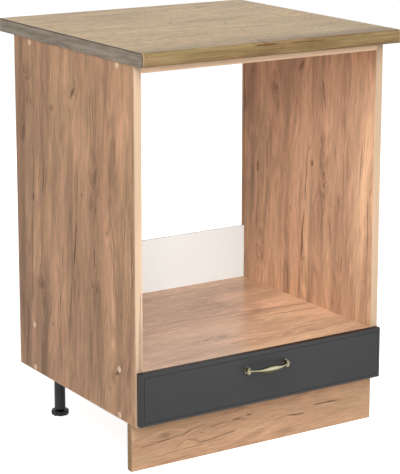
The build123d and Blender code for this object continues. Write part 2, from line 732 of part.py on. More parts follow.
def roller_pin(start, direction):
    """Shouldered pin with a head, riveted to a runner; the roller turns between the two."""
    span = ROLLER_WIDTH + 2 * ROLLING_GAP
    shoulder = Cylinder(PIN_HEAD / 2, PIN_SHOULDER, align=BASE)
    shaft = Cylinder(PIN_DIAMETER / 2, PIN_SHOULDER + span + PIN_HEAD_HEIGHT, align=BASE)
    head = Pos(0, 0, PIN_SHOULDER + span) * Cylinder(PIN_HEAD / 2, PIN_HEAD_HEIGHT, align=BASE)
    return Plane(origin=start, z_dir=direction) * (shoulder + shaft + head)


def roller(start, direction):
    """Grooved plastic roller on its pin, just clear of shoulder and head."""
    wheel = Cylinder(ROLLER_RADIUS, ROLLER_WIDTH, align=BASE)
    wheel = chamfer(wheel.edges().filter_by(GeomType.CIRCLE), ROLLER_GROOVE)
    dish = Cylinder(ROLLER_RADIUS - ROLLER_RIM, ROLLER_GROOVE, align=BASE)
    hub = Cylinder(PIN_HEAD / 2, ROLLER_GROOVE, align=BASE)
    recess = dish - hub
    far_recess = Pos(0, 0, ROLLER_WIDTH - ROLLER_GROOVE) * recess
    bore = Cylinder(PIN_DIAMETER / 2 + PIN_PLAY, ROLLER_WIDTH, align=BASE)
    seat = Pos(0, 0, PIN_SHOULDER + ROLLING_GAP)
    return Plane(origin=start, z_dir=direction) * seat * (wheel - recess - far_recess - bore)


def cabinet_roller_start():
    """Where the left cabinet runner carries its roller pin."""
    return (INNER_LEFT + STEEL, FRONT_ROLLER_Y, FRONT_ROLLER_LEVEL)


def drawer_roller_start():
    """Where the left drawer runner carries its roller pin."""
    return (BOX_LEFT - STEEL, REAR_ROLLER_Y, REAR_ROLLER_LEVEL)


def runner_cabinet():
    """Left cabinet runner: a steel channel with a roller pin in front and a stop."""
    edge = INNER_LEFT + STEEL + TRACK_WIDTH
    outer = block(INNER_LEFT, edge, RUNNER_FRONT, RUNNER_BACK, TRACK - STEEL, CHANNEL_TOP)
    hollow = block(INNER_LEFT + STEEL, edge, RUNNER_FRONT, RUNNER_BACK, TRACK, CHANNEL_ROOF)
    rise = STOP_HEIGHT - ROLLING_GAP
    run = math.sqrt(ROLLER_RADIUS**2 - (ROLLER_RADIUS - rise) ** 2)
    stop_back = REAR_ROLLER_Y - DRAWER_TRAVEL - run - STOP_MARGIN
    stop = block(
        INNER_LEFT + 2 * STEEL,
        edge - STEEL,
        stop_back - STOP_LENGTH,
        stop_back,
        TRACK,
        TRACK + STOP_HEIGHT,
    )
    stop = chamfer(stop.edges().filter_by(Axis.X).group_by(Axis.Z)[-1], STOP_HEIGHT / 2)
    inward = (-1, 0, 0)
    holes = [wood_screw_hole(seat, inward, STEEL) for seat in cabinet_runner_screw_seats()]
    return outer - hollow - holes + stop + roller_pin(cabinet_roller_start(), ALONG_X)


def runner_drawer():
    """Left drawer runner: a web on the drawer's side, a foot under it and a running flange."""
    web_start = BOX_LEFT - STEEL
    y_from = BOX_FRONT + FRONT_GAP
    web = block(web_start, BOX_LEFT, y_from, BOX_BACK, BOX_FLOOR - STEEL, FLANGE_TOP)
    foot = block(
        web_start, BOX_LEFT + RUNNER_FOOT_WIDTH, y_from, BOX_BACK, BOX_FLOOR - STEEL, BOX_FLOOR
    )
    flange = block(
        web_start - FLANGE_WIDTH, web_start, y_from, BOX_BACK, FLANGE_UNDERSIDE, FLANGE_TOP
    )
    holes = [wood_screw_hole(seat, ALONG_X, STEEL) for seat in drawer_runner_screw_seats()]
    return web + foot + flange - holes + roller_pin(drawer_roller_start(), (-1, 0, 0))


os.makedirs("parts", exist_ok=True)

left_screws = [housing_screw_with_socket(place, ALONG_X) for place in carcass_screw_places()]
left_caps = [screw_cap(place, ALONG_X) for place in carcass_screw_places()]
dowel_start = INNER_LEFT - DOWEL_IN_PANEL
left_dowels = [rod((dowel_start, y, z), ALONG_X, DOWEL_DIAMETER, DOWEL_LENGTH) for y, z in DOWELS]

save_pair("side_panel", side_panel())
save("bottom_panel", bottom_panel())
save("oven_shelf", oven_shelf())
save("front_rail", front_rail())
save("rear_rail", rear_rail())
save("back_strip", back_strip())
save_pair("edge_band", side_edge_band())
save("edge_band_bottom", cross_edge_band(UNDERSIDE))
save("edge_band_shelf", cross_edge_band(SHELF_UNDERSIDE))
save("edge_band_rail", cross_edge_band(RAIL_UNDERSIDE))
save_pair("carcass_screws", left_screws)
save_pair("screw_caps", left_caps)
save("carcass_dowels", left_dowels + [mirrored(dowel) for dowel in left_dowels])

worktop_left = LEFT - LEFT_OVERHANG
worktop_right = RIGHT + RIGHT_OVERHANG
slab = worktop_slice(worktop_left + END_STRIP, worktop_right - END_STRIP)
save("worktop", slab - worktop_screw_holes())
save("worktop_edging_left", worktop_slice(worktop_left, worktop_left + END_STRIP))
save("worktop_edging_right", worktop_slice(worktop_right - END_STRIP, worktop_right))
worktop_screws = [
    wood_screw(seat, ALONG_Z, WORKTOP_SCREW_LENGTH) for seat in worktop_screw_seats()
]
save("worktop_screws", worktop_screws)

for place, (leg_x, leg_y) in LEG_PLACES.items():
    save(f"leg_socket_{place}", leg_socket(leg_x, leg_y))
    save(f"leg_tube_{place}", leg_tube(leg_x, leg_y))
    save(f"leg_foot_{place}", leg_foot(leg_x, leg_y))
leg_screws = [wood_screw(seat, ALONG_Z, LEG_SCREW_LENGTH) for seat in leg_screw_seats()]
save("leg_screws", leg_screws)

save("plinth", plinth())
save_pair("plinth_clip", plinth_clip())
left_clip_seats = clip_screw_seats(LEFT + LEG_SIDE_INSET)
clip_screws = [wood_screw(seat, (0, -1, 0), CLIP_SCREW_LENGTH) for seat in left_clip_seats]
save("plinth_clip_screws", clip_screws + [mirrored(screw) for screw in clip_screws])

save("drawer_front", drawer_front())
save_pair("drawer_side", drawer_side())
save("drawer_inner_front", drawer_inner_front())
save("drawer_back", drawer_back())
save("drawer_bottom", drawer_bottom())
box_screws = [housing_screw_with_socket(place, ALONG_X) for place in box_screw_places()]
save("drawer_box_screws", box_screws + [mirrored(screw) for screw in box_screws])
front_screws = [
    wood_screw(seat, (0, -1, 0), FRONT_SCREW_LENGTH) for seat in front_screw_seats()
]
save("drawer_front_screws", front_screws)
save("handle", handle())
save("handle_screws", [handle_screw(x, z) for x, y, z in handle_places()])

save_pair("runner_cabinet", runner_cabinet())
save_pair("runner_drawer", runner_drawer())
save_pair("roller_front", roller(cabinet_roller_start(), ALONG_X))
save_pair("roller_rear", roller(drawer_roller_start(), (-1, 0, 0)))
cabinet_screws = [
    wood_screw(seat, (-1, 0, 0), RUNNER_SCREW_LENGTH) for seat in cabinet_runner_screw_seats()
]
save("runner_cabinet_screws", cabinet_screws + [mirrored(screw) for screw in cabinet_screws])
drawer_screws = [
    wood_screw(seat, ALONG_X, RUNNER_SCREW_LENGTH) for seat in drawer_runner_screw_seats()
]
save("runner_drawer_screws", drawer_screws + [mirrored(screw) for screw in drawer_screws])
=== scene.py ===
"""Oven housing unit: finishes, fine pieces and a plain studio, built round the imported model."""
import json
import math

import bmesh
import bpy
from mathutils import Euler, Matrix, Vector

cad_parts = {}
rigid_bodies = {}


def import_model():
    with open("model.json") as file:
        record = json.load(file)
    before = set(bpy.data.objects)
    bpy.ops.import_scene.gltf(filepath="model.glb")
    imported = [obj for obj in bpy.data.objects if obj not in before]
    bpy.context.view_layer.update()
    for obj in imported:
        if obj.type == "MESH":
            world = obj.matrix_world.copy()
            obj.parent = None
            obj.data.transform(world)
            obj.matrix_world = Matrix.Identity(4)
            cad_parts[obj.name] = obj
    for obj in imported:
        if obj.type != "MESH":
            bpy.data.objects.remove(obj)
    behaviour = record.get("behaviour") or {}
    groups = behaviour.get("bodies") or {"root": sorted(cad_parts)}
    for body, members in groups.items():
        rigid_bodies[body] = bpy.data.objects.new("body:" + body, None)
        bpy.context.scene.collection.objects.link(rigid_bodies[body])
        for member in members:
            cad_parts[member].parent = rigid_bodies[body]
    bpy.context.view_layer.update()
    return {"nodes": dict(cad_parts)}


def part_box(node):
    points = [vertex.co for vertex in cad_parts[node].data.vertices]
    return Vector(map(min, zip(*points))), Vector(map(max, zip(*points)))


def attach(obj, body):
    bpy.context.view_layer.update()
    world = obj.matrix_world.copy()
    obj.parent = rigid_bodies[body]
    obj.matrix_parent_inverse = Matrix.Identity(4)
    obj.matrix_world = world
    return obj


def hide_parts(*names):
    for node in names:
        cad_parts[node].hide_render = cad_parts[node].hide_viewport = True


bl_info = {
    "name": "Oven Housing Unit",
    "version": (1, 0, 0),
    "blender": (4, 5, 0),
    "location": "3D View > Sidebar > Oven Unit",
    "description": "Finishes and fine pieces of a kitchen base unit for a built-in oven",
    "category": "Object",
}

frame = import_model()
NODES = frame["nodes"]
MM = 0.001


def both(*names):
    """The names of left and right pieces."""
    return tuple(f"{name}_{side}" for name in names for side in ("left", "right"))


LONG_BOARDS = ("bottom_panel", "front_rail", "rear_rail")
DRAWER_BOARDS = ("drawer_inner_front", "drawer_back")
DRAWER_SIDES = both("drawer_side")
EDGINGS = both("worktop_edging")
RUNNERS = both("runner_cabinet", "runner_drawer")
ROLLERS = both("roller_front", "roller_rear")
LEG_NODES = both(*(f"leg_{part}_{end}" for part in ("socket", "tube", "foot") for end in ("front", "rear")))
CLIPS = both("plinth_clip")
HIDDEN_SCREWS = (*both("carcass_screws"), "drawer_box_screws")
ROUND_HEADED_SCREWS = (
    "leg_screws", "worktop_screws", "plinth_clip_screws", "drawer_front_screws", "handle_screws",
    "runner_cabinet_screws", "runner_drawer_screws",
)
CAP_NODES = both("screw_caps")

# Marks in the decor and broad patches, in millimetres. On the side panels a place is its distance from the
# rear edge and its distance below the carcass top. A vein is its two ends, its width and its depth of
# colour. A knot is its place, its half width and half length, its lean in degrees and its depth of colour.
# A figure is a patch of short wavy grain: its place, half width and half length. A broad patch is its
# place, half width and half length, and how much darker (or, below 0, lighter) it is. On the side panels
# the broad patches are partly the decor's own broad tone and partly painted shade and painted light; on the
# shelf and the plinth they are painted shade and painted light only.
LEFT_VEINS = (
    (274, 225, 264, 350, 4, 0.35), (266, 340, 250, 468, 4.5, 0.75), (243, 470, 226, 625, 5, 0.4),
    (207, 405, 199, 475, 4, 0.4), (191, 470, 187, 735, 3.5, 0.6), (181, 520, 180, 735, 3, 0.35),
    (78, 210, 73, 330, 5, 0.35), (73, 350, 58, 600, 4.5, 0.5), (44, 560, 33, 735, 5, 0.5),
    (118, 380, 96, 560, 3.5, 0.35), (127, 250, 117, 330, 3.5, 0.55), (137, 255, 127, 335, 3.5, 0.5),
    (334, 60, 342, 180, 3.5, 0.45), (352, 30, 345, 150, 3, 0.3), (337, 390, 341, 440, 4.5, 0.6),
    (322, 560, 320, 700, 3.5, 0.4), (425, 150, 421, 215, 3.5, 0.5), (405, 215, 402, 345, 2.5, 0.4),
    (472, 205, 467, 300, 3, 0.5), (463, 300, 455, 395, 3.5, 0.45), (489, 300, 488, 480, 2.5, 0.7),
    (418, 330, 414, 500, 3, 0.35), (104, 640, 108, 735, 3.5, 0.35), (292, 20, 290, 220, 2.5, 0.3),
)
LEFT_KNOTS = (
    (254, 88, 6, 19, 38, 0.8), (41, 70, 5, 8, 60, 0.85), (31, 205, 11, 26, 8, 0.45),
    (75, 339, 3, 10, 0, 0.9), (288, 294, 2.8, 4.5, 0, 0.95), (389, 353, 4, 9, 10, 0.6),
    (428, 632, 6, 20, 48, 0.75), (160, 132, 9, 6, 0, 0.4), (155, 600, 4, 7, 0, 0.55),
    (443, 512, 3, 5, 0, 0.5),
)
LEFT_FIGURES = ((337, 260, 24, 85), (105, 530, 22, 70), (60, 100, 20, 60), (340, 470, 18, 60))
# Partly the decor's own broad tone, partly painted shade and painted light.
LEFT_PATCHES_AND_PAINTED_LIGHT = (
    (92, 115, 26, 150, 0.12), (120, 320, 70, 110, 0.06), (430, 130, 60, 120, -0.05),
    (343, 350, 28, 160, 0.15), (350, 60, 22, 70, 0.1), (103, 590, 36, 190, 0.24), (120, 620, 90, 120, 0.07),
    (385, 360, 60, 110, -0.11), (365, 640, 50, 160, 0.16), (28, 500, 16, 250, 0.1),
    (455, 130, 42, 130, -0.1), (165, 330, 38, 130, -0.07), (301, 290, 14, 200, -0.08),
)
RIGHT_VEINS = (
    (264, 244, 251, 400, 4, 0.5), (251, 395, 238, 540, 4.5, 0.65), (238, 530, 230, 620, 3.5, 0.4),
    (100, 270, 106, 345, 4, 0.5), (106, 340, 97, 480, 3.5, 0.45), (68, 376, 60, 510, 4, 0.45),
    (312, 96, 328, 175, 4, 0.55), (308, 224, 324, 290, 4.5, 0.55), (460, 200, 448, 340, 3, 0.45),
    (478, 320, 484, 470, 2.5, 0.65), (396, 120, 392, 400, 2.5, 0.35), (344, 400, 352, 470, 4, 0.45),
    (392, 480, 390, 525, 4, 0.45), (188, 540, 192, 620, 4, 0.5), (150, 560, 146, 640, 3, 0.3),
    (278, 60, 276, 200, 2.5, 0.3),
)
RIGHT_KNOTS = (
    (234, 84, 6, 16, 38, 0.6), (278, 296, 4, 6, 0, 0.85), (66, 340, 4, 18, 0, 0.8),
    (376, 362, 4, 9, 0, 0.55), (14, 200, 8, 26, 0, 0.5), (128, 150, 10, 22, 10, 0.3),
    (196, 414, 3, 8, 0, 0.5),
)
RIGHT_FIGURES = ((320, 320, 22, 100), (140, 150, 20, 60), (76, 540, 22, 60))
# Partly the decor's own broad tone, partly painted shade and painted light.
RIGHT_PATCHES_AND_PAINTED_LIGHT = (
    (54, 270, 30, 230, 0.2), (320, 330, 26, 150, 0.12), (215, 240, 34, 150, -0.07), (60, 640, 60, 90, -0.1),
    (440, 120, 50, 110, 0.12), (190, 640, 40, 110, -0.04),
)
# On the shelf a place is its distance in front of the back strip and its distance from the left end.
SHELF_VEINS = (
    (226, 175, 244, 390, 3.5, 0.6), (243, 380, 268, 600, 3.5, 0.7), (289, 345, 306, 600, 4, 0.6),
    (372, 150, 384, 300, 5, 0.35), (405, 370, 408, 500, 4, 0.3), (432, 405, 440, 500, 4, 0.45),
    (300, -10, 322, 220, 4, 0.3), (90, 260, 96, 480, 6, 0.25),
)
SHELF_KNOTS = (
    (210, 222, 3.5, 4, 0, 0.8), (154, 345, 4, 12, 0, 0.6), (368, 240, 3.5, 10, 20, 0.6),
    (425, 263, 4, 14, 0, 0.5),
)
SHELF_FIGURES = ((380, 240, 20, 90), (150, 350, 22, 60))
# Painted shade and painted light.
SHELF_PAINTED_LIGHT = (
    (400, 130, 130, 170, 0.15), (445, 110, 80, 130, 0.15), (225, 545, 170, 150, -0.42),
    (80, 440, 60, 110, 0.06),
)
# On the plinth a place is its distance below the top and its distance from the left end.
PLINTH_VEINS = (
    (52, 14, 47, 66, 2.5, 0.35), (48, 52, 43, 98, 3, 0.6), (44, 88, 42, 124, 2, 0.4),
    (44, 114, 33, 148, 3, 0.6), (35, 138, 30, 182, 2.5, 0.45), (68, 100, 53, 132, 2.5, 0.4),
    (52, 122, 65, 168, 2.5, 0.4), (67, 150, 67, 196, 3, 0.6), (68, 184, 61, 214, 3, 0.6),
    (63, 200, 59, 256, 2.5, 0.5), (50, 130, 41, 156, 2, 0.35), (41, 146, 49, 178, 2, 0.35),
    (41, 186, 33, 232, 4, 0.35), (34, 240, 35, 268, 3, 0.65), (31, 274, 32, 292, 3, 0.6),
    (57, 340, 52, 388, 2, 0.35), (53, 374, 55, 432, 2.5, 0.65), (40, 440, 41, 520, 3, 0.85),
    (76, 66, 72, 124, 2, 0.35), (73, 110, 74, 182, 2.5, 0.4), (74, 170, 68, 240, 2, 0.3),
    (95, 50, 89, 150, 2, 0.3),
)
PLINTH_KNOTS = ((35, 78, 5, 13, 0, 0.35), (39, 194, 6, 15, 0, 0.35))
# Painted shade and painted light.
PLINTH_PAINTED_LIGHT = ((50, 110, 90, 150, 0.04), (50, 470, 90, 190, -0.04))
# On the worktop a place is its sum of Y and Z, which falls over the nose, and its X.
WORKTOP_VEINS = (
    (556, -60, 556, 10, 5, 0.7), (556, 20, 554, 110, 4, 0.5), (538, -240, 540, -90, 3, 0.3),
    (534, 60, 536, 230, 3, 0.3), (571, -75, 571, 20, 5, 0.6), (574, 0, 577, 130, 5, 0.6),
    (566, 40, 561, 200, 4, 0.45), (580, -200, 578, -70, 6, 0.4),
)
WORKTOP_KNOTS = (
    (578, -26, 18, 10, 0, 1), (557, -26, 6, 8, 0, 0.7), (582, 3, 16, 14, 0, 0.6), (584, 60, 12, 26, 0, 0.4),
    (604, 20, 44, 140, 0, 0.16),
)
# On the left edge band a place is its X and its height above the floor.
BAND_VEINS = (
    (-296.8, 385, -298.6, 315, 2.6, 0.4), (-298.2, 345, -300.2, 250, 3.2, 0.42),
    (-299.8, 280, -301.6, 190, 3.2, 0.36), (-296.5, 330, -297.2, 190, 5, 0.25),
)
LEFT_MARKS = (LEFT_VEINS, LEFT_KNOTS, LEFT_FIGURES, LEFT_PATCHES_AND_PAINTED_LIGHT)
RIGHT_MARKS = (RIGHT_VEINS, RIGHT_KNOTS, RIGHT_FIGURES, RIGHT_PATCHES_AND_PAINTED_LIGHT)
SHELF_MARKS = (SHELF_VEINS, SHELF_KNOTS, SHELF_FIGURES, SHELF_PAINTED_LIGHT)
PLINTH_MARKS = (PLINTH_VEINS, PLINTH_KNOTS, (), PLINTH_PAINTED_LIGHT)
NO_MARKS = ((), (), (), ())

# The parts of a noise's reach from 0 to 1 that its values mostly fill.
NOISE_MIDDLE = (0.3, 0.7)
NOISE_REACH = (0.2, 0.8)
# How far apart two boards lie in the decor, and how much its grain leans.
SEED_STEP = 1000.0
GRAIN_SLANT = 0.05
# The worktop's nose: its radius, its painted light (how much lighter the nose is painted), and how far
# the laminate wraps under it. The groove round a handle post lies this far from the drawer front.
NOSE_RADIUS = 0.008
NOSE_PAINTED_LIGHT = 1.09
LAMINATE_WRAP = 0.012
POST_GROOVE = 0.0048


def paint(red, green, blue):
    """A colour given as it shows on screen, from 0 to 255, turned into the light it stands for."""
    shown = [part / 255 for part in (red, green, blue)]
    return tuple(part / 12.92 if part <= 0.04045 else ((part + 0.055) / 1.055) ** 2.4 for part in shown)


def colour_setting(name, *shown):
    """A colour that a user can change in the panel."""
    return bpy.props.FloatVectorProperty(
        name=name, description=f"Colour of the {name[0].lower()}{name[1:]}", size=3, subtype="COLOR",
        min=0, max=1, default=paint(*shown),
    )


def length_setting(name, description, millimetres):
    """A length that a user can change in the panel."""
    return bpy.props.FloatProperty(
        name=name, description=description, unit="LENGTH", subtype="DISTANCE", min=0,
        default=millimetres * MM, precision=4,
    )


def angle_setting(name, description, degrees):
    """An angle that a user can change in the panel."""
    return bpy.props.FloatProperty(
        name=name, description=description, subtype="ANGLE", unit="ROTATION", default=math.radians(degrees)
    )


def power_setting(name, description, watts):
    """A lamp's power that a user can change in the panel."""
    return bpy.props.FloatProperty(name=name, description=description, unit="POWER", default=watts, min=0)


class OvenUnitFinish(bpy.types.PropertyGroup):
    """Colours of the unit's boards, worktop, front, handle and plastic parts."""

    oak_yellow: colour_setting("Oak's yellow bands", 213, 169, 132)
    oak_pink: colour_setting("Oak's pink bands", 212, 164, 130)
    oak_grey: colour_setting("Oak's grey bands", 180, 140, 110)
    oak_vein: colour_setting("Oak's veins and knots", 84, 56, 40)
    band: colour_setting("Pale edge band", 216, 185, 154)
    chipboard: colour_setting("Raw chipboard", 178, 146, 108)
    worktop_pale: colour_setting("Worktop's pale bands", 184, 158, 112)
    worktop_deep: colour_setting("Worktop's deeper bands", 164, 137, 93)
    worktop_rose: colour_setting("Worktop's pinkish patches", 182, 149, 108)
    worktop_vein: colour_setting("Worktop's veins and pores", 98, 64, 42)
    edging_pale: colour_setting("End strips' pale streaks", 174, 160, 143)
    edging_deep: colour_setting("End strips' deep streaks", 142, 128, 112)
    edging_rim: colour_setting("End strips' dark outer rim", 66, 48, 38)
    sheet: colour_setting("Hardboard's white face", 243, 253, 255)
    hardboard: colour_setting("Hardboard's brown rear", 128, 92, 60)
    front: colour_setting("Drawer front's foil", 55, 55, 56)
    # Painted shade on the drawer front's top, bottom and side faces.
    front_edge_shade: colour_setting("Drawer front's dark edges", 30, 24, 21)
    brass: colour_setting("Handle's brass, rubbed bright", 154, 149, 120)
    # Painted highlight on the crest of the handle's leaf.
    crest: colour_setting("Handle's crest, rubbed to the metal", 206, 197, 170)
    # Patina in the handle's hollows, also painted shade on its leaf.
    patina: colour_setting("Handle's patina in its hollows", 46, 43, 32)
    plastic: colour_setting("Black plastic of legs and clips", 15, 15, 15)
    zinc: colour_setting("Screws' zinc plate", 196, 198, 200)
    steel: colour_setting("Runners' white coat", 226, 226, 222)
    nylon: colour_setting("Rollers' nylon", 214, 213, 205)
    cap: colour_setting("Screw caps", 242, 208, 176)
    beech: colour_setting("Dowels' raw beech", 206, 164, 118)


class OvenUnitSizes(bpy.types.PropertyGroup):
    """Sizes of the fine pieces that stand for plain solids."""

    recess_width: length_setting("Recess width", "Width of one arm of a screw's cross recess", 0.9)
    recess_depth: length_setting("Recess depth", "Depth of a screw's cross recess", 0.75)
    thread_pitch: length_setting("Thread pitch", "Pitch of the wood screws' threads", 1.3)
    cap_crown: bpy.props.FloatProperty(
        name="Cap crown", description="How flat a cap's dome is: the lower, the flatter",
        default=0.55, min=0.1, max=2,
    )
    # Painted highlight: the pale line along the boards' arrises, partly their edge band showing.
    arris_highlight: length_setting("Arris line", "Pale line along the boards' melamine edges", 1.1)


class OvenUnitStudio(bpy.types.PropertyGroup):
    """Camera and lamps of the photograph's view."""

    camera_place: bpy.props.FloatVectorProperty(
        name="Camera place", description="Where the camera stands", size=3,
        subtype="TRANSLATION", unit="LENGTH", default=(-2.0814, -3.2786, 1.385),
    )
    camera_turn: angle_setting("Camera turn", "How far it looks to the right of straight ahead", 32.94)
    camera_dip: angle_setting("Camera dip", "How far the camera looks down", 12.56)
    camera_roll: angle_setting("Camera roll", "How far the camera leans about its own axis", 0.126)
    lens: bpy.props.FloatProperty(
        name="Lens", description="Focal length in millimetres on a 36 mm long side", default=141.05, min=1
    )
    overhead_power: power_setting("Overhead lamp", "Power of the wide lamp above, in watts", 18)
    front_power: power_setting("Front lamp", "Power of the lamp straight in front, in watts", 12)
    left_power: power_setting("Left lamp", "Power of the lamp in front and to the left, in watts", 58)
    key_power: power_setting("Key lamp", "Power of the lamp high above the front left corner, in watts", 34)
    right_power: power_setting("Right lamp", "Power of the lamp on the right, in watts", 36)
    wall_power: power_setting("Wall lamp", "Power of the lamp straight behind, in watts", 15)
    niche_power: power_setting("Niche lamp", "Power of the small lamp at the niche's opening, in watts", 1.1)
    ambient: bpy.props.FloatProperty(
        name="Ambient light", description="Strength of the even light from all round", default=0.2, min=0
    )


class Net:
    """A node tree in the making."""

    def __init__(self, tree):
        self.tree = tree

    def add(self, kind, feeds=(), **settings):
        """A node with its settings made and its inputs joined or set, in order."""
        node = self.tree.nodes.new(kind)
        for key, value in settings.items():
            setattr(node, key, value)
        for key, value in dict(feeds).items():
            self.feed(node.inputs[key], value)
        return node

    def out(self, kind, feeds=(), **settings):
        """The first output of a new node."""
        return self.add(kind, feeds, **settings).outputs[0]

    def feed(self, socket, value):
        """Joins a socket to another's output, or gives it a plain value."""
        if isinstance(value, bpy.types.NodeSocket):
            self.tree.links.new(value, socket)
        else:
            socket.default_value = value

    def step(self, operation, first, second=0.0, clamp=False):
        """One step of arithmetic."""
        return self.out("ShaderNodeMath", {0: first, 1: second}, operation=operation, use_clamp=clamp)

    def chain(self, operation, values):
        """The same step of arithmetic over all values in turn."""
        total, *rest = values
        for value in rest:
            total = self.step(operation, total, value)
        return total

    def plus(self, *values):
        return self.chain("ADD", values)

    def times(self, *values):
        return self.chain("MULTIPLY", values)

    def most(self, *values):
        return self.chain("MAXIMUM", values)

    def minus(self, first, second):
        return self.step("SUBTRACT", first, second)

    def size(self, value):
        """A value without its sign."""
        return self.step("ABSOLUTE", value)

    def apart(self, first, second):
        """How far apart two values are."""
        return self.size(self.minus(first, second))

    def parts(self, vector):
        """The three coordinates of a vector."""
        return self.add("ShaderNodeSeparateXYZ", {0: vector}).outputs

    def point(self, first, second, third=0.0):
        """A vector from three coordinates."""
        return self.out("ShaderNodeCombineXYZ", {0: first, 1: second, 2: third})

    def span(self, value, low, high, to_low=0.0, to_high=1.0, curve="SMOOTHSTEP"):
        """A value carried softly from one span to another and held at its ends."""
        feeds = {"From Min": low, "From Max": high, "To Min": to_low, "To Max": to_high, "Value": value}
        return self.out("ShaderNodeMapRange", feeds, interpolation_type=curve)

    def line(self, value, low, high, to_low=0.0, to_high=1.0):
        """A value carried evenly from one span to another and held at its ends."""
        return self.span(value, low, high, to_low, to_high, "LINEAR")


class Recipe(Net):
    """One finish in the making: its material, its node tree and its shader."""

    def __init__(self, name, roughness, specular=0.5, metallic=0.0):
        self.material = bpy.data.materials.new(name)
        self.material.use_nodes = True
        super().__init__(self.material.node_tree)
        self.shader = next(node for node in self.tree.nodes if node.type == "BSDF_PRINCIPLED")
        self.shader.inputs["Roughness"].default_value = roughness
        self.shader.inputs["Specular IOR Level"].default_value = specular
        self.shader.inputs["Metallic"].default_value = metallic
        coordinates = self.add("ShaderNodeTexCoord")
        self.place = coordinates.outputs["Object"]
        self.x, self.y, self.z = self.parts(self.place)
        self.facing_x, self.facing_y, self.facing_z = self.parts(coordinates.outputs["Normal"])

    def stretch(self, vector, factors):
        """A vector scaled apart along its three coordinates."""
        return self.out("ShaderNodeVectorMath", {0: vector, 1: factors}, operation="MULTIPLY")

    def noise(self, vector, features, detail=2.0, rough=0.5):
        """Soft noise between 0 and 1, with so many features per unit of the vector's coordinates."""
        features = (features,) * 3 if isinstance(features, float) else features
        feeds = {"Vector": self.stretch(vector, features), "Scale": 1.0, "Detail": detail, "Roughness": rough}
        return self.out("ShaderNodeTexNoise", feeds)

    def grain(self, vector, across, along, layer, detail=2.0, rough=0.5):
        """Soft noise with a feature every so many millimetres across and along the grain."""
        return self.noise(vector, (1 / across, 1 / along, layer), detail, rough)

    def vary(self, noise, to_low, to_high):
        """Noise carried softly to a span, which the middle of its reach fills."""
        return self.span(noise, *NOISE_MIDDLE, to_low, to_high)

    def sway(self, noise, reach):
        """Noise carried to either side of 0."""
        return self.line(noise, *NOISE_REACH, -reach, reach)

    def blend(self, share, first, second):
        """One colour over another, by a share from 0 to 1."""
        node = self.add("ShaderNodeMix", data_type="RGBA", clamp_factor=True)
        for socket, value in zip((node.inputs[0], node.inputs[6], node.inputs[7]), (share, first, second)):
            plain = not isinstance(value, bpy.types.NodeSocket) and hasattr(value, "__len__")
            self.feed(socket, (*value, 1.0) if plain else value)
        return node.outputs[2]

    def shade(self, colour, factor):
        """A colour made lighter or darker by a factor."""
        return self.out("ShaderNodeVectorMath", {0: colour, "Scale": factor}, operation="SCALE")

    def finish(self, colour, roughness, relief, depth, strength):
        """Joins colour, relief and, unless it is even, roughness and hands the material over."""
        self.feed(self.shader.inputs["Base Color"], colour)
        if roughness is not None:
            self.feed(self.shader.inputs["Roughness"], roughness)
        feeds = {"Height": relief, "Distance": depth, "Strength": strength}
        self.feed(self.shader.inputs["Normal"], self.out("ShaderNodeBump", feeds))
        return self.material


def vein_mask(net, across, along, vein):
    """A thin dark vein that drifts from one end to the other and fades out at both."""
    start_across, start, end_across, end, width, depth = vein
    centre = net.line(along, start, end, start_across, end_across)
    off_centre = net.apart(across, centre)
    body = net.span(off_centre, width * 0.15, width * 0.75, min(depth * 1.3, 1.0), 0.0)
    half = abs(end - start) / 2
    from_middle = net.apart(along, (start + end) / 2)
    return net.times(body, net.span(from_middle, half * 0.45, half, 1.0, 0.0))


def ellipse_distance(net, across, along, place_across, place_along, half_width, half_length, lean=0):
    """Distance from a leaning ellipse's middle, 1 on its outline, and the offset across the grain."""
    off_across = net.minus(across, place_across)
    off_along = net.minus(along, place_along)
    turn = math.radians(lean)
    wide = net.plus(
        net.times(off_across, math.cos(turn) / half_width),
        net.times(off_along, math.sin(turn) / half_width),
    )
    long = net.minus(
        net.times(off_along, math.cos(turn) / half_length),
        net.times(off_across, math.sin(turn) / half_length),
    )
    return net.step("SQRT", net.plus(net.times(wide, wide), net.times(long, long))), off_across


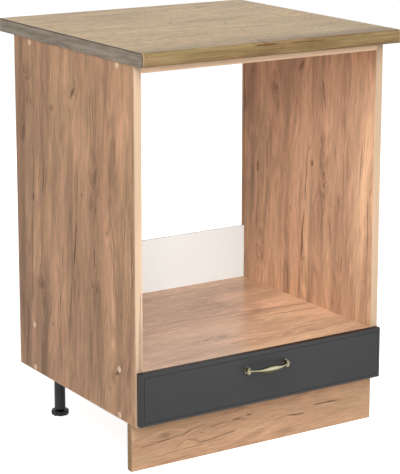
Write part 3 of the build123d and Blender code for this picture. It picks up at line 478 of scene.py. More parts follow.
def oak_figure(net, across, along, marks, seed, contrast):
    """Shares of the oak decor at a point, with both coordinates in millimetres of board.

    The grain runs along the second coordinate, and contrast scales the broad streaks. The result
    holds the broad bands, their hue, the tone of the streaks and of the broad patches, which hold painted
    shade and painted light, the dark marks and the fine grain."""
    veins, knots, figures, patches_and_painted_light = marks
    plane = net.point(across, along, seed * SEED_STEP)
    drift = net.grain(plane, 140, 480, 0.013)
    waver = net.grain(plane, 16, 60, 0.017)
    bent = net.plus(across, net.sway(drift, 14.0), net.sway(waver, 1.6), net.times(along, GRAIN_SLANT))

    knot_masks = []
    for *ellipse, depth in knots:
        distance, off = ellipse_distance(net, across, along, *ellipse)
        ragged = net.plus(distance, net.sway(waver, 0.5))
        knot_masks.append(net.span(ragged, 0.25, 1.25, depth, 0.0))
        pull = net.span(distance, 0.6, 4.0, 0.7, 0.0)
        bent = net.minus(bent, net.times(off, pull))

    if figures:
        ripple = net.grain(plane, 14, 30, 0.019, 3.0, 0.6)
        distances = [ellipse_distance(net, across, along, *figure)[0] for figure in figures]
        wavy = net.most(*[net.span(distance, 0.3, 1.3, 1.0, 0.0) for distance in distances])
        bent = net.plus(bent, net.times(net.line(ripple, 0.25, 0.75, -11.0, 11.0), wavy))

    flow = net.point(bent, along, seed * SEED_STEP)
    band = net.grain(flow, 62, 900, 0.011, 2.0, 0.45)
    hue = net.grain(flow, 38, 520, 0.023)
    broad = net.grain(flow, 24, 330, 0.029, 3.0, 0.55)
    streak = net.grain(flow, 7, 110, 0.031, 3.0, 0.62)
    fine = net.grain(flow, 2.6, 40, 0.037, 3.0, 0.65)
    rings = net.step("SINE", net.times(net.grain(flow, 70, 330, 0.041, 1.0), 58.0))
    patch = net.grain(plane, 55, 160, 0.043)
    plank = net.grain(flow, 120, 700, 0.061, 1.0)

    tone = 1.0
    for pattern, reach, share in ((broad, 0.2, 0.18), (streak, 0.25, 0.2), (plank, 0.2, 0.15)):
        low, high = 1 - share * contrast, 1 + share * contrast
        tone = net.times(tone, net.line(pattern, 0.5 - reach, 0.5 + reach, low, high))
    tone = net.times(tone, net.line(fine, 0.25, 0.75, 0.8, 1.19))
    # Broad patches: on the side panels partly the decor's own tone and partly painted shade and light, on the
    # shelf and plinth painted shade and light only.
    for *ellipse, darker in patches_and_painted_light:
        distance = ellipse_distance(net, across, along, *ellipse)[0]
        distance = net.plus(distance, net.vary(patch, -0.3, 0.3))
        tone = net.times(tone, net.span(distance, 0.35, 1.35, 1 - darker, 1.0))
    ring_share = net.span(patch, 0.42, 0.66, 0.0, 0.12)
    tone = net.times(tone, net.plus(1.0, net.times(rings, ring_share)))

    crease = net.apart(net.grain(flow, 26, 260, 0.047), 0.5)
    gate = net.grain(plane, 34, 110, 0.053)
    hair = net.times(net.span(crease, 0.0, 0.014, 1.0, 0.0), net.span(gate, 0.5, 0.66, 0.0, 0.42))
    unsteady = net.plus(across, net.sway(waver, 2.0))
    drawn = [vein_mask(net, unsteady, along, vein) for vein in veins]
    dark = net.most(hair, *drawn, *knot_masks)
    if figures:
        ridges = net.grain(flow, 7, 42, 0.059, 2.0, 0.55)
        dark = net.most(dark, net.times(net.span(ridges, 0.42, 0.66, 0.0, 0.62), wavy))
    return band, hue, tone, net.times(dark, net.line(fine, *NOISE_MIDDLE, 0.7, 1.1)), fine


def chipboard_colour(net, finish):
    """Raw chipboard: pressed chips of several sizes in glue."""
    chips = net.add("ShaderNodeTexVoronoi", {"Vector": net.place, "Scale": 420.0}, feature="F1")
    tones = net.line(net.parts(chips.outputs["Color"])[0], 0.0, 1.0, 0.68, 1.16)
    dust = net.vary(net.noise(net.place, 900.0), 0.88, 1.1)
    return net.shade(net.shade(finish.chipboard, tones), dust)


def raw_share(net, raw_axes):
    """Where a board's faces look along an axis that has no decor."""
    facings = {"x": net.facing_x, "y": net.facing_y, "z": net.facing_z}
    return net.span(net.most(*[net.size(facings[axis]) for axis in raw_axes]), 0.5, 0.6)


def millimetres(net, axis, origin=0.0, sign=1):
    """A point's distance from an origin on the board along an axis, in millimetres."""
    return net.times(net.minus({"x": net.x, "y": net.y, "z": net.z}[axis], origin), sign / MM)


def oak_material(name, settings, across, along, raw_axes, seed, marks=NO_MARKS, arris_levels=(), gloss=0.04,
                 contrast=1.0, balance=(1.0, 1.0, 1.0), front=None):
    """Melamine-faced board in light oak decor, raw where it has no band.

    Across and along are each an axis, the place of zero and the sign; marks are in millimetres.
    The balance scales the decor's red, green and blue; it is painted light, which darkens or cools a
    board's copy of the decor. With the place of the front edge given, the faces beside it have a painted
    highlight, and the arrises at the arris levels a pale line, partly painted highlight."""
    finish, sizes = settings
    net = Recipe(name, 0.24, specular=gloss)
    across, along = millimetres(net, *across), millimetres(net, *along)
    band, hue, tone, dark, fine = oak_figure(net, across, along, marks, seed, contrast)
    colour = net.blend(net.span(hue, 0.36, 0.62), finish.oak_yellow, finish.oak_pink)
    colour = net.blend(net.span(band, 0.48, 0.68, 0.0, 0.85 * contrast), colour, finish.oak_grey)
    colour = net.stretch(net.shade(colour, tone), balance)
    colour = net.blend(dark, colour, finish.oak_vein)
    # Painted highlight along the arrises at these levels, partly the pale edge band showing round them.
    for level in arris_levels:
        line = net.span(net.apart(net.z, level), sizes.arris_highlight * 0.8, sizes.arris_highlight, 0.75, 0.0)
        colour = net.blend(line, colour, finish.band)
    # Painted highlight beside the front edge, brighter than the edge band.
    if front is not None:
        line = net.span(net.apart(net.y, front), sizes.arris_highlight, sizes.arris_highlight * 1.6, 0.85, 0.0)
        colour = net.blend(line, colour, net.shade(finish.band, 1.25))
    colour = net.blend(raw_share(net, raw_axes), colour, chipboard_colour(net, finish))
    return net.finish(colour, net.line(fine, 0.25, 0.75, 0.2, 0.3), fine, 0.0001, 0.3)


def band_material(name, finish, grain, lift=1.0, veins=()):
    """Thin pale edge band with a faint straight grain and, on an upright one, drawn veins and painted shade
    low down; the lift is painted light.
    """
    net = Recipe(name, 0.42, specular=0.4)
    factors = {"x": (18.0, 1400.0, 1400.0), "z": (1400.0, 1400.0, 18.0)}[grain]
    soft = net.noise(net.place, [factor / 6 for factor in factors])
    fine = net.noise(net.place, factors, 3.0, 0.6)
    tone = net.times(net.line(soft, *NOISE_MIDDLE, 0.92, 1.05), net.vary(fine, 0.96, 1.04), lift)
    colour = net.shade(finish.band, tone)
    if veins:
        across, along = millimetres(net, "x"), millimetres(net, "z")
        drawn = net.most(*[vein_mask(net, across, along, vein) for vein in veins])
        colour = net.blend(drawn, colour, finish.oak_vein)
        # Painted shade: the band is darker below about 0.4 m.
        colour = net.shade(colour, net.span(net.z, 0.38, 0.5, 0.85, 1.0))
    return net.finish(colour, None, fine, 0.00005, 0.3)


def worktop_material(finish):
    """Postformed laminate with a fine yellowish grain and painted light and shade; its rear and underside are
    raw.
    """
    low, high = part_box("worktop")
    net = Recipe("worktop_oak_laminate", 0.3, specular=0.05)
    across = net.times(net.plus(net.y, net.z), 1 / MM)
    along = net.times(net.x, 1 / MM)
    plane = net.point(across, along)
    drift = net.grain(plane, 70, 300, 1.0)
    waver = net.grain(plane, 18, 44, 1.0)
    flow = net.point(net.plus(across, net.sway(drift, 9.0), net.sway(waver, 1.8)), along)
    band = net.grain(flow, 48, 300, 1.0)
    hue = net.grain(plane, 60, 240, 3.0)
    streak = net.grain(flow, 14, 150, 1.0, 3.0, 0.6)
    fine = net.grain(flow, 4.5, 30, 1.0, 3.0, 0.7)
    long = net.grain(flow, 5, 170, 9.0, 3.0, 0.6)

    nose = net.span(net.facing_y, -0.95, -0.2, 1.0, 0.0)
    short = net.line(fine, 0.25, 0.75, 0.58, 1.4)
    long = net.line(long, 0.25, 0.75, 0.7, 1.28)
    grain = net.plus(short, net.times(nose, net.minus(long, short)))
    # Painted shade: darker along the front of the top and over the nose, and towards the top's right end; on
    # the nose a little painted light lifts it again.
    right = net.times(net.span(along, 60.0, 260.0), net.span(across, 560.0, 900.0, 0.2, 0.0))
    tone = net.times(
        net.line(streak, 0.25, 0.75, 0.72, 1.24),
        grain,
        net.span(across, 568.0, 650.0, 0.64),
        net.span(across, 640.0, 900.0, 0.93),
        net.most(net.minus(1.0, right), nose),
        net.line(nose, 0.0, 1.0, 1.0, NOSE_PAINTED_LIGHT),
    )
    colour = net.blend(net.span(band, 0.34, 0.66), finish.worktop_pale, finish.worktop_deep)
    colour = net.blend(net.span(hue, 0.4, 0.62, 0.0, 0.6), colour, finish.worktop_rose)
    colour = net.shade(colour, tone)

    gate = net.grain(plane, 40, 80, 1.0, 1.0)
    pores = net.grain(flow, 3.4, 11, 1.0, 1.0)
    pores = net.times(net.span(pores, 0.6, 0.7), net.span(gate, 0.4, 0.62, 0.35))
    specks = net.grain(flow, 8, 17, 5.0, 1.0)
    rows = net.grain(flow, 34, 190, 7.0, 1.0)
    specks = net.times(net.span(specks, 0.63, 0.7), net.span(rows, 0.55, 0.64, 0.0, 0.9))
    crease = net.apart(net.grain(flow, 22, 240, 1.0), 0.5)
    crease = net.times(net.span(crease, 0.0, 0.02, 0.5, 0.0), net.span(gate, 0.4, 0.6))
    drawn = [vein_mask(net, across, along, vein) for vein in WORKTOP_VEINS]
    for *ellipse, depth in WORKTOP_KNOTS:
        distance = ellipse_distance(net, across, along, *ellipse)[0]
        drawn.append(net.span(distance, 0.3, 1.3, depth, 0.0))
    dots = net.times(net.most(pores, specks), net.span(nose, 0.0, 1.0, 1.0, 0.2))
    colour = net.blend(net.most(dots, crease, *drawn), colour, finish.worktop_vein)

    # Painted highlight: a pale line along both ends of the worktop.
    from_end = net.minus((high.x - low.x) / 2, net.apart(net.x, (low.x + high.x) / 2))
    colour = net.blend(net.span(from_end, 0.001, 0.0035, 0.35, 0.0), colour, finish.band)
    colour = net.blend(net.span(net.facing_y, 0.5, 0.6), colour, chipboard_colour(net, finish))
    wrap = low.y + LAMINATE_WRAP
    under = net.times(net.span(net.facing_z, -0.9, -0.99), net.span(net.y, wrap, wrap + 0.0005))
    backing = net.shade(finish.hardboard, net.vary(hue, 0.95, 1.2))
    colour = net.blend(under, colour, backing)
    return net.finish(colour, net.span(fine, 0.25, 0.75, 0.26, 0.36), fine, 0.0001, 0.3)


def edging_material(finish):
    """Grey-brown strip on the worktop's sawn end, streaked lengthwise, dark round its outer rim."""
    low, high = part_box("worktop")
    net = Recipe("streaked_end_strip", 0.5, specular=0.2)
    clouds = net.noise(net.place, (40.0, 12.0, 130.0), 4.0, 0.6)
    grain = net.noise(net.place, (500.0, 75.0, 700.0), 3.0, 0.6)
    colour = net.blend(net.span(clouds, 0.36, 0.64), finish.edging_deep, finish.edging_pale)
    colour = net.shade(colour, net.vary(grain, 0.92, 1.08))
    ahead = net.most(net.minus(low.y + NOSE_RADIUS, net.y), 0.0)
    above = net.most(net.minus(net.z, high.z - NOSE_RADIUS), 0.0)
    reach = net.step("SQRT", net.plus(net.times(ahead, ahead), net.times(above, above)))
    flank = net.span(net.size(net.facing_x), 0.3, 0.7, 1.0, 0.0)
    rim = net.most(net.span(reach, NOSE_RADIUS - 0.003, NOSE_RADIUS - 0.0014), flank)
    colour = net.blend(net.times(rim, 0.85), colour, finish.edging_rim)
    return net.finish(colour, net.vary(grain, 0.42, 0.6), grain, 0.0001, 0.3)


def sheet_material(name, finish, white_axis):
    """Hardboard, white on the face that shows and brown and fibrous on the other."""
    net = Recipe(name, 0.3, specular=0.45)
    facing = {"front": net.times(net.facing_y, -1.0), "top": net.facing_z}[white_axis]
    flecks = net.noise(net.place, 240.0, 3.0, 0.6)
    fibre = net.noise(net.place, 900.0, 3.0, 0.7)
    brown = net.shade(finish.hardboard, net.vary(fibre, 0.75, 1.2))
    white = net.shade(finish.sheet, net.vary(flecks, 0.985, 1.01))
    colour = net.blend(net.span(facing, 0.5, 0.6), brown, white)
    rough = net.span(facing, 0.5, 0.6, 0.8, 0.32)
    return net.finish(colour, rough, flecks, 0.00008, 0.2)


def front_material(finish):
    """Anthracite foil with a faint pebbled emboss and painted shade on its top, bottom and side faces."""
    net = Recipe("anthracite_foil", 0.5, specular=0.25)
    cloud = net.noise(net.place, 14.0)
    pebble = net.noise(net.place, 1500.0, 2.0, 0.6)
    colour = net.shade(finish.front, net.vary(cloud, 0.97, 1.03))
    colour = net.shade(colour, net.vary(pebble, 0.96, 1.04))
    # Painted shade: the top and bottom faces dark and the side faces nearly as dark.
    edge = net.span(net.size(net.facing_z), 0.75, 0.97)
    flank = net.span(net.size(net.facing_x), 0.75, 0.97, 0.0, 0.8)
    colour = net.blend(net.most(edge, flank), colour, finish.front_edge_shade)
    return net.finish(colour, net.vary(pebble, 0.46, 0.56), pebble, 0.00006, 0.35)


def brass_material(finish):
    """Antique brass: dark in the grooves and along the leaf's rims, with painted shade on the leaf's lower
    half and its necks and a painted highlight on its crown.
    """
    low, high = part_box("handle")
    net = Recipe("antique_brass_casting", 0.3, metallic=1.0)
    middle = (low + high) / 2
    reach = (high.x - low.x) / 2
    off_middle = net.apart(net.x, middle.x)
    swell = net.span(off_middle, 0.0, 0.64 * reach, 0.0088, 0.0024)
    height = net.step("DIVIDE", net.minus(net.z, middle.z), swell)
    rims = net.span(net.size(height), 0.55, 0.95)
    # Painted shade: the leaf darker towards its bottom.
    lower = net.span(height, 0.2, -0.5, 0.0, 0.85)
    drawn = net.noise(net.place, (50.0, 300.0, 900.0), 2.0, 0.6)
    lines = net.span(drawn, 0.5, 0.62, 0.0, 0.45)
    # Painted shade on the necks beside the posts.
    neck_shade = net.span(off_middle, 0.7 * reach, 0.8 * reach, 0.0, 0.15)
    leaf = net.most(rims, lower, lines, neck_shade)
    depth = net.minus(high.y, net.y)
    groove = net.span(net.apart(depth, POST_GROOVE), 0.001, 0.0028, 0.95, 0.0)
    seat = net.span(depth, 0.0006, 0.0014, 0.9, 0.0)
    post = net.most(groove, seat, net.span(drawn, 0.46, 0.62, 0.0, 0.35))
    at_post = net.span(off_middle, 0.82 * reach, 0.86 * reach)
    off_post = net.minus(1.0, at_post)
    # Share of dark colour: on the leaf patina and painted shade, on the posts patina in the grooves.
    dark_share = net.plus(net.times(post, at_post), net.times(leaf, off_post))
    cloud = net.noise(net.place, 260.0, 3.0, 0.6)
    rub = net.noise(net.place, (900.0, 2600.0, 2600.0), 2.0, 0.6)
    share = net.step("ADD", dark_share, net.vary(cloud, -0.12, 0.16), clamp=True)
    colour = net.blend(share, finish.brass, finish.patina)
    # Painted highlight along the leaf's crest.
    crest = net.span(net.apart(height, 0.3), 0.1, 0.4, 0.6, 0.0)
    colour = net.blend(net.times(crest, off_post), colour, finish.crest)
    colour = net.shade(colour, net.vary(rub, 0.92, 1.06))
    rough = net.plus(net.span(share, 0.0, 1.0, 0.24, 0.5), net.vary(rub, -0.04, 0.05))
    return net.finish(colour, rough, cloud, 0.00012, 0.3)


def plain_material(name, shown, roughness, mottling, tones, skin, roughs, relief, specular=0.5, metallic=0.0):
    """One colour, mottled by one noise, with its sheen and relief from another.

    A noise is its features per metre, its detail and its roughness, and a relief its depth and strength."""
    net = Recipe(name, roughness, specular, metallic)
    colour = net.shade(shown, net.vary(net.noise(net.place, *mottling), *tones))
    skin = net.noise(net.place, *skin)
    sheen = net.vary(skin, *roughs) if roughs else None
    return net.finish(colour, sheen, skin, *relief)


def plastic_material(name, shown, roughness, mottling):
    """Moulded plastic with a fine spark-eroded texture."""
    tones = (1 - mottling, 1 + mottling)
    roughs = (roughness - 0.05, roughness + 0.07)
    skin = (1400.0, 2.0, 0.6)
    return plain_material(name, shown, roughness, (90.0,), tones, skin, roughs, (0.00006, 0.4), specular=0.4)


def zinc_material(finish):
    """Bright, clouded zinc plate."""
    cloud = (500.0, 3.0, 0.6)
    tones, roughs, relief = (0.84, 1.06), (0.22, 0.42), (0.00004, 0.2)
    return plain_material("zinc_plate", finish.zinc, 0.3, cloud, tones, cloud, roughs, relief, metallic=1.0)


def steel_material(finish):
    """White epoxy coat on sheet steel, with a slight orange peel."""
    wear, peel = ((60.0, 9.0, 240.0), 3.0, 0.6), (420.0,)
    tones, roughs, relief = (0.95, 1.02), (0.3, 0.4), (0.0001, 0.25)
    return plain_material("white_runner_coat", finish.steel, 0.34, wear, tones, peel, roughs, relief)


def beech_material(finish):
    """Raw beech with short flecks along the dowel."""
    fleck = ((90.0, 1500.0, 1500.0), 2.0, 0.6)
    tones, relief = (0.86, 1.08), (0.0001, 0.5)
    return plain_material("raw_beech", finish.beech, 0.7, fleck, tones, fleck, None, relief)


def dress(names, material):
    """Gives CAD nodes a material through their own slots."""
    for name in names:
        for slot in NODES[name].material_slots:
            slot.material = material


FASTENER_MEASURES = (
    "Head Diameter", "Head Height", "Crown", "Recess Width", "Recess Depth",
    "Shaft Diameter", "Shaft Length", "Thread Pitch", "Thread Depth", "Tip Length",
)
FASTENER_INPUTS = {
    **dict.fromkeys(FASTENER_MEASURES, "NodeSocketFloat"),
    "Recessed": "NodeSocketBool",
    "Seed": "NodeSocketInt",
    "Finish": "NodeSocketMaterial",
}
# What turns the screws' recesses by chance, and the bend in radians from which an edge stays sharp.
SPIN_SEED = 7
SHARP_EDGE = 0.7


def fastener_head(net, given):
    """A domed head that stands on the origin, with a cross recess where one is asked for."""
    radius = net.times(given["Head Diameter"], 0.5)
    ball = net.out("GeometryNodeMeshUVSphere", {"Segments": 32, "Rings": 16, "Radius": radius})
    x, y, z = net.parts(net.out("GeometryNodeInputPosition"))
    lift = net.step("POWER", net.step("DIVIDE", net.most(z, 0.0), radius), given["Crown"])
    lift = net.times(lift, given["Head Height"])
    dome = net.out("GeometryNodeSetPosition", {"Geometry": ball, "Position": net.point(x, y, lift)})
    arm = net.times(given["Head Diameter"], 0.54)
    deep = net.times(given["Recess Depth"], 2.0)
    cut = net.add("GeometryNodeMeshBoolean", {"Mesh 1": dome}, operation="DIFFERENCE", solver="EXACT")
    for size in ((arm, given["Recess Width"], deep), (given["Recess Width"], arm, deep)):
        slot = net.out("GeometryNodeMeshCube", {"Size": net.point(*size)})
        top = net.point(0.0, 0.0, given["Head Height"])
        slot = net.out("GeometryNodeTransform", {"Geometry": slot, "Translation": top})
        net.feed(cut.inputs["Mesh 2"], slot)
    feeds = {"Switch": given["Recessed"], "False": dome, "True": cut.outputs[0]}
    return net.out("GeometryNodeSwitch", feeds, input_type="GEOMETRY")


def fastener_shaft(net, given):
    """A shaft below the origin, ridged by its thread and narrowed to its tip."""
    start = net.point(0.0, 0.0, net.times(given["Head Height"], 0.25))
    end = net.point(0.0, 0.0, net.times(given["Shaft Length"], -1.0))
    line = net.out("GeometryNodeCurvePrimitiveLine", {"Start": start, "End": end})
    turns = net.step("DIVIDE", given["Shaft Length"], given["Thread Pitch"])
    count = net.plus(net.times(turns, 2.0), 2.0)
    line = net.out("GeometryNodeResampleCurve", {"Curve": line, "Count": count})
    odd = net.step("MODULO", net.out("GeometryNodeInputIndex"), 2.0)
    ridge = net.minus(1.0, net.times(odd, given["Thread Depth"]))
    run = net.minus(1.0, net.add("GeometryNodeSplineParameter").outputs["Factor"])
    from_tip = net.times(run, given["Shaft Length"])
    narrow = net.line(from_tip, 0.0, given["Tip Length"], 0.12, 1.0)
    width = net.times(ridge, narrow)
    line = net.out("GeometryNodeSetCurveRadius", {"Curve": line, "Radius": width})
    radius = net.times(given["Shaft Diameter"], 0.5)
    ring = net.out("GeometryNodeCurvePrimitiveCircle", {"Resolution": 14, "Radius": radius})
    feeds = {"Curve": line, "Profile Curve": ring, "Fill Caps": True}
    return net.out("GeometryNodeCurveToMesh", feeds)


def fastener_tree():
    """A Geometry Nodes tree that stands a fastener on every point, along that point's aim."""
    tree = bpy.data.node_groups.new("round_headed_fastener", "GeometryNodeTree")
    tree.interface.new_socket("Geometry", in_out="INPUT", socket_type="NodeSocketGeometry")
    for label, kind in FASTENER_INPUTS.items():
        tree.interface.new_socket(label, in_out="INPUT", socket_type=kind)
    tree.interface.new_socket("Geometry", in_out="OUTPUT", socket_type="NodeSocketGeometry")
    net = Net(tree)
    given = net.add("NodeGroupInput").outputs
    whole = net.add("GeometryNodeMeshBoolean", operation="UNION", solver="EXACT")
    net.feed(whole.inputs["Mesh 2"], fastener_head(net, given))
    net.feed(whole.inputs["Mesh 2"], fastener_shaft(net, given))
    aim = net.out("GeometryNodeInputNamedAttribute", {"Name": "aim"}, data_type="FLOAT_VECTOR")
    upright = net.out("FunctionNodeAlignRotationToVector", {"Vector": aim}, axis="Z")
    feeds = {2: 0.0, 3: math.pi / 2, "Seed": given["Seed"]}
    chance = net.add("FunctionNodeRandomValue", feeds, data_type="FLOAT").outputs[1]
    spin = net.out("FunctionNodeAxisAngleToRotation", {"Axis": (0.0, 0.0, 1.0), "Angle": chance})
    feeds = {"Rotation": upright, "Rotate By": spin}
    turned = net.out("FunctionNodeRotateRotation", feeds, rotation_space="LOCAL")
    feeds = {"Points": given["Geometry"], "Instance": whole.outputs[0], "Rotation": turned}
    placed = net.out("GeometryNodeInstanceOnPoints", feeds)
    solid = net.out("GeometryNodeRealizeInstances", {"Geometry": placed})
    solid = net.out("GeometryNodeSetShadeSmooth", {"Geometry": solid}, domain="FACE")
    bend = net.out("GeometryNodeInputMeshEdgeAngle")
    sharp = net.step("GREATER_THAN", bend, SHARP_EDGE)
    feeds = {"Geometry": solid, "Selection": sharp, "Shade Smooth": False}
    solid = net.out("GeometryNodeSetShadeSmooth", feeds, domain="EDGE")
    solid = net.out("GeometryNodeSetMaterial", {"Geometry": solid, "Material": given["Finish"]})
    net.feed(net.add("NodeGroupOutput").inputs[0], solid)
    return tree


def fastener_inputs(head, height, crown, recess, shaft, pitch, thread_depth, tip):
    """The tree's inputs, from the sizes of head, shaft and tip in millimetres and the rest as it is.

    The recess is whether there is one, its arm's width and its depth."""
    recessed, recess_width, recess_depth = recess
    return {
        "Head Diameter": head * MM,
        "Head Height": height * MM,
        "Crown": crown,
        "Recessed": recessed,
        "Recess Width": recess_width,
        "Recess Depth": recess_depth,
        "Shaft Diameter": shaft * MM,
        "Thread Pitch": pitch,
        "Thread Depth": thread_depth,
        "Tip Length": tip * MM,
    }


def fastener_seat(corners, head_height):
    """One fastener's seat under its head, its outward aim and its shaft's length, from its corners."""
    low = [min(corner[axis] for corner in corners) for axis in range(3)]
    high = [max(corner[axis] for corner in corners) for axis in range(3)]
    sizes = [top - bottom for bottom, top in zip(low, high)]
    axis = max(range(3), key=lambda own: abs(3 * sizes[own] - sum(sizes)))
    seat = [(bottom + top) / 2 for bottom, top in zip(low, high)]
    first, second = (other for other in range(3) if other != axis)

    def reach(level):
        ring = (corner for corner in corners if abs(corner[axis] - level) < 0.01 * MM)
        return max(math.hypot(corner[first] - seat[first], corner[second] - seat[second]) for corner in ring)

    outward = 1.0 if reach(high[axis]) > reach(low[axis]) else -1.0
    seat[axis] = (high if outward > 0 else low)[axis] - outward * head_height
    aim = [0.0, 0.0, 0.0]
    aim[axis] = outward
    return seat, aim, sizes[axis] - head_height


def fastener_seats(name, head_height):
    """The seats of all separate solids in a CAD node, in a fixed order."""
    work = bmesh.new()
    work.from_mesh(NODES[name].data)
    bmesh.ops.remove_doubles(work, verts=work.verts, dist=0.001 * MM)
    waiting = set(work.verts)
    seats = []
    while waiting:
        queue = [waiting.pop()]
        corners = []
        while queue:
            vertex = queue.pop()
            corners.append(vertex.co.copy())
            for edge in vertex.link_edges:
                other = edge.other_vert(vertex)
                if other in waiting:
                    waiting.remove(other)
                    queue.append(other)
        seats.append(fastener_seat(corners, head_height))
    work.free()
    return sorted(seats)


def stand_fasteners(context, tree, node, name, material, inputs):
    """Replaces a CAD node's plain fasteners by ones from the tree, as one plain mesh."""
    seats = fastener_seats(node, inputs["Head Height"])
    mesh = bpy.data.meshes.new(name)
    mesh.from_pydata([seat for seat, aim, length in seats], [], [])
    aims = mesh.attributes.new("aim", "FLOAT_VECTOR", "POINT")
    aims.data.foreach_set("vector", [part for seat, aim, length in seats for part in aim])
    piece = bpy.data.objects.new(name, mesh)
    context.scene.collection.objects.link(piece)
    modifier = piece.modifiers.new("fasteners", "NODES")
    modifier.node_group = tree
    values = {**inputs, "Shaft Length": seats[0][2], "Seed": SPIN_SEED, "Finish": material}
    for item in tree.interface.items_tree:
        if item.in_out == "INPUT" and item.name in values:
            modifier[item.identifier] = values[item.name]
    built = bpy.data.meshes.new_from_object(piece.evaluated_get(context.evaluated_depsgraph_get()))
    if not built.polygons:
        raise RuntimeError(f"no fasteners were built for {node}")
    piece.modifiers.remove(modifier)
    built.name = name
    built.materials.clear()
    built.materials.append(material)
    built.polygons.foreach_set("material_index", [0] * len(built.polygons))
    piece.data = built
    bpy.data.meshes.remove(mesh)
    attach(piece, NODES[node].parent.name.split(":")[1])
    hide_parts(node)


class OVENUNIT_OT_boards(bpy.types.Operator):
    """Gives every oak board its decor, with the grain the way that board is cut, and paints light and shade
    on the side panels, shelf and plinth
    """

    bl_idname = "oven_unit.boards"
    bl_label = "Oak Boards"

    def execute(self, context):
        settings = context.scene.oven_unit_finish, context.scene.oven_unit_sizes
        low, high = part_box("side_panel_left")
        panel = (("y", high.y, -1), ("z", high.z, -1), "yz")
        # Painted highlights along the top and bottom arrises and beside the front edge.
        edges = {"arris_levels": (low.z, high.z), "front": low.y}
        dress(["side_panel_left"], oak_material("oak_side_left", settings, *panel, 3, LEFT_MARKS, **edges))
        # Painted light: the balance cools the right panel's copy of the oak decor.
        right = oak_material(
            "oak_side_right", settings, *panel, 5, RIGHT_MARKS, balance=(0.95, 1.0, 1.06), **edges
        )
        dress(["side_panel_right"], right)
        low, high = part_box("oven_shelf")
        # Painted shade: the balance darkens the shelf's copy of the oak decor.
        shelf = oak_material(
            "oak_shelf", settings, ("y", high.y, -1), ("x", low.x, 1), "xy", 7, SHELF_MARKS,
            gloss=0.2, contrast=0.62, balance=(0.775, 0.84, 0.905),
        )
        dress(["oven_shelf"], shelf)
        low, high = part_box("plinth")
        # Painted shade: the balance darkens the plinth's copy of the oak decor.
        plinth = oak_material(
            "oak_plinth", settings, ("z", high.z, -1), ("x", low.x, 1), "x", 11, PLINTH_MARKS,
            arris_levels=(low.z, high.z), contrast=0.35, balance=(0.875, 0.935, 0.955),
        )
        dress(["plinth"], plinth)
        level = oak_material("oak_level_boards", settings, ("y", 0.0, -1), ("x",), "xy", 13)
        dress(LONG_BOARDS, level)
        dress(DRAWER_BOARDS, oak_material("oak_drawer_ends", settings, ("z", 0.0, -1), ("x",), "x", 17))
        dress(DRAWER_SIDES, oak_material("oak_drawer_sides", settings, ("z", 0.0, -1), ("y",), "y", 19))
        return {"FINISHED"}


class OVENUNIT_OT_bands(bpy.types.Operator):
    """Gives the front edges their pale band, with painted light and shade on some"""

    bl_idname = "oven_unit.bands"
    bl_label = "Edge Bands"

    def execute(self, context):
        finish = context.scene.oven_unit_finish
        dress(["edge_band_left"], band_material("band_left", finish, "z", veins=BAND_VEINS))
        # Painted light: the right band and the shelf's band are painted darker, and the rail's band, which
        # lies in the worktop's shadow, lighter.
        dress(["edge_band_right"], band_material("band_right", finish, "z", 0.88))
        dress(["edge_band_bottom"], band_material("band_bottom", finish, "x"))
        dress(["edge_band_shelf"], band_material("band_shelf", finish, "x", 0.8))
        dress(["edge_band_rail"], band_material("band_rail", finish, "x", 1.4))
        return {"FINISHED"}


class OVENUNIT_OT_worktop(bpy.types.Operator):
    """Gives the worktop its laminate, with painted light and shade, and its end strips their streaked finish
    """

    bl_idname = "oven_unit.worktop"
    bl_label = "Worktop"

    def execute(self, context):
        finish = context.scene.oven_unit_finish
        dress(["worktop"], worktop_material(finish))
        dress(EDGINGS, edging_material(finish))
        return {"FINISHED"}


class OVENUNIT_OT_sheets(bpy.types.Operator):
    """Gives the back strip and the drawer bottom their white and brown faces"""

    bl_idname = "oven_unit.sheets"
    bl_label = "Hardboard Sheets"

    def execute(self, context):
        finish = context.scene.oven_unit_finish
        dress(["back_strip"], sheet_material("white_back_strip", finish, "front"))
        dress(["drawer_bottom"], sheet_material("white_drawer_bottom", finish, "top"))
        return {"FINISHED"}


class OVENUNIT_OT_drawer_front(bpy.types.Operator):
    """Finishes the drawer front in anthracite foil with painted shade on its edges"""

    bl_idname = "oven_unit.drawer_front"
    bl_label = "Drawer Front"

    def execute(self, context):
        dress(["drawer_front"], front_material(context.scene.oven_unit_finish))
        return {"FINISHED"}


class OVENUNIT_OT_handle(bpy.types.Operator):
    """Finishes the bow handle in antique brass with painted shade and a painted highlight"""

    bl_idname = "oven_unit.handle"
    bl_label = "Bow Handle"

    def execute(self, context):
        dress(["handle"], brass_material(context.scene.oven_unit_finish))
        return {"FINISHED"}


class OVENUNIT_OT_legs(bpy.types.Operator):
    """Finishes legs and plinth clips in moulded black plastic"""

    bl_idname = "oven_unit.legs"
    bl_label = "Legs and Clips"

    def execute(self, context):
        finish = context.scene.oven_unit_finish
        dress((*LEG_NODES, *CLIPS), plastic_material("black_moulding", finish.plastic, 0.46, 0.1))
        return {"FINISHED"}


class OVENUNIT_OT_runners(bpy.types.Operator):
    """Finishes the drawer's runners and their rollers"""

    bl_idname = "oven_unit.runners"
    bl_label = "Drawer Runners"

    def execute(self, context):
        finish = context.scene.oven_unit_finish
        dress(RUNNERS, steel_material(finish))
        dress(ROLLERS, plastic_material("roller_nylon", finish.nylon, 0.4, 0.03))
        return {"FINISHED"}


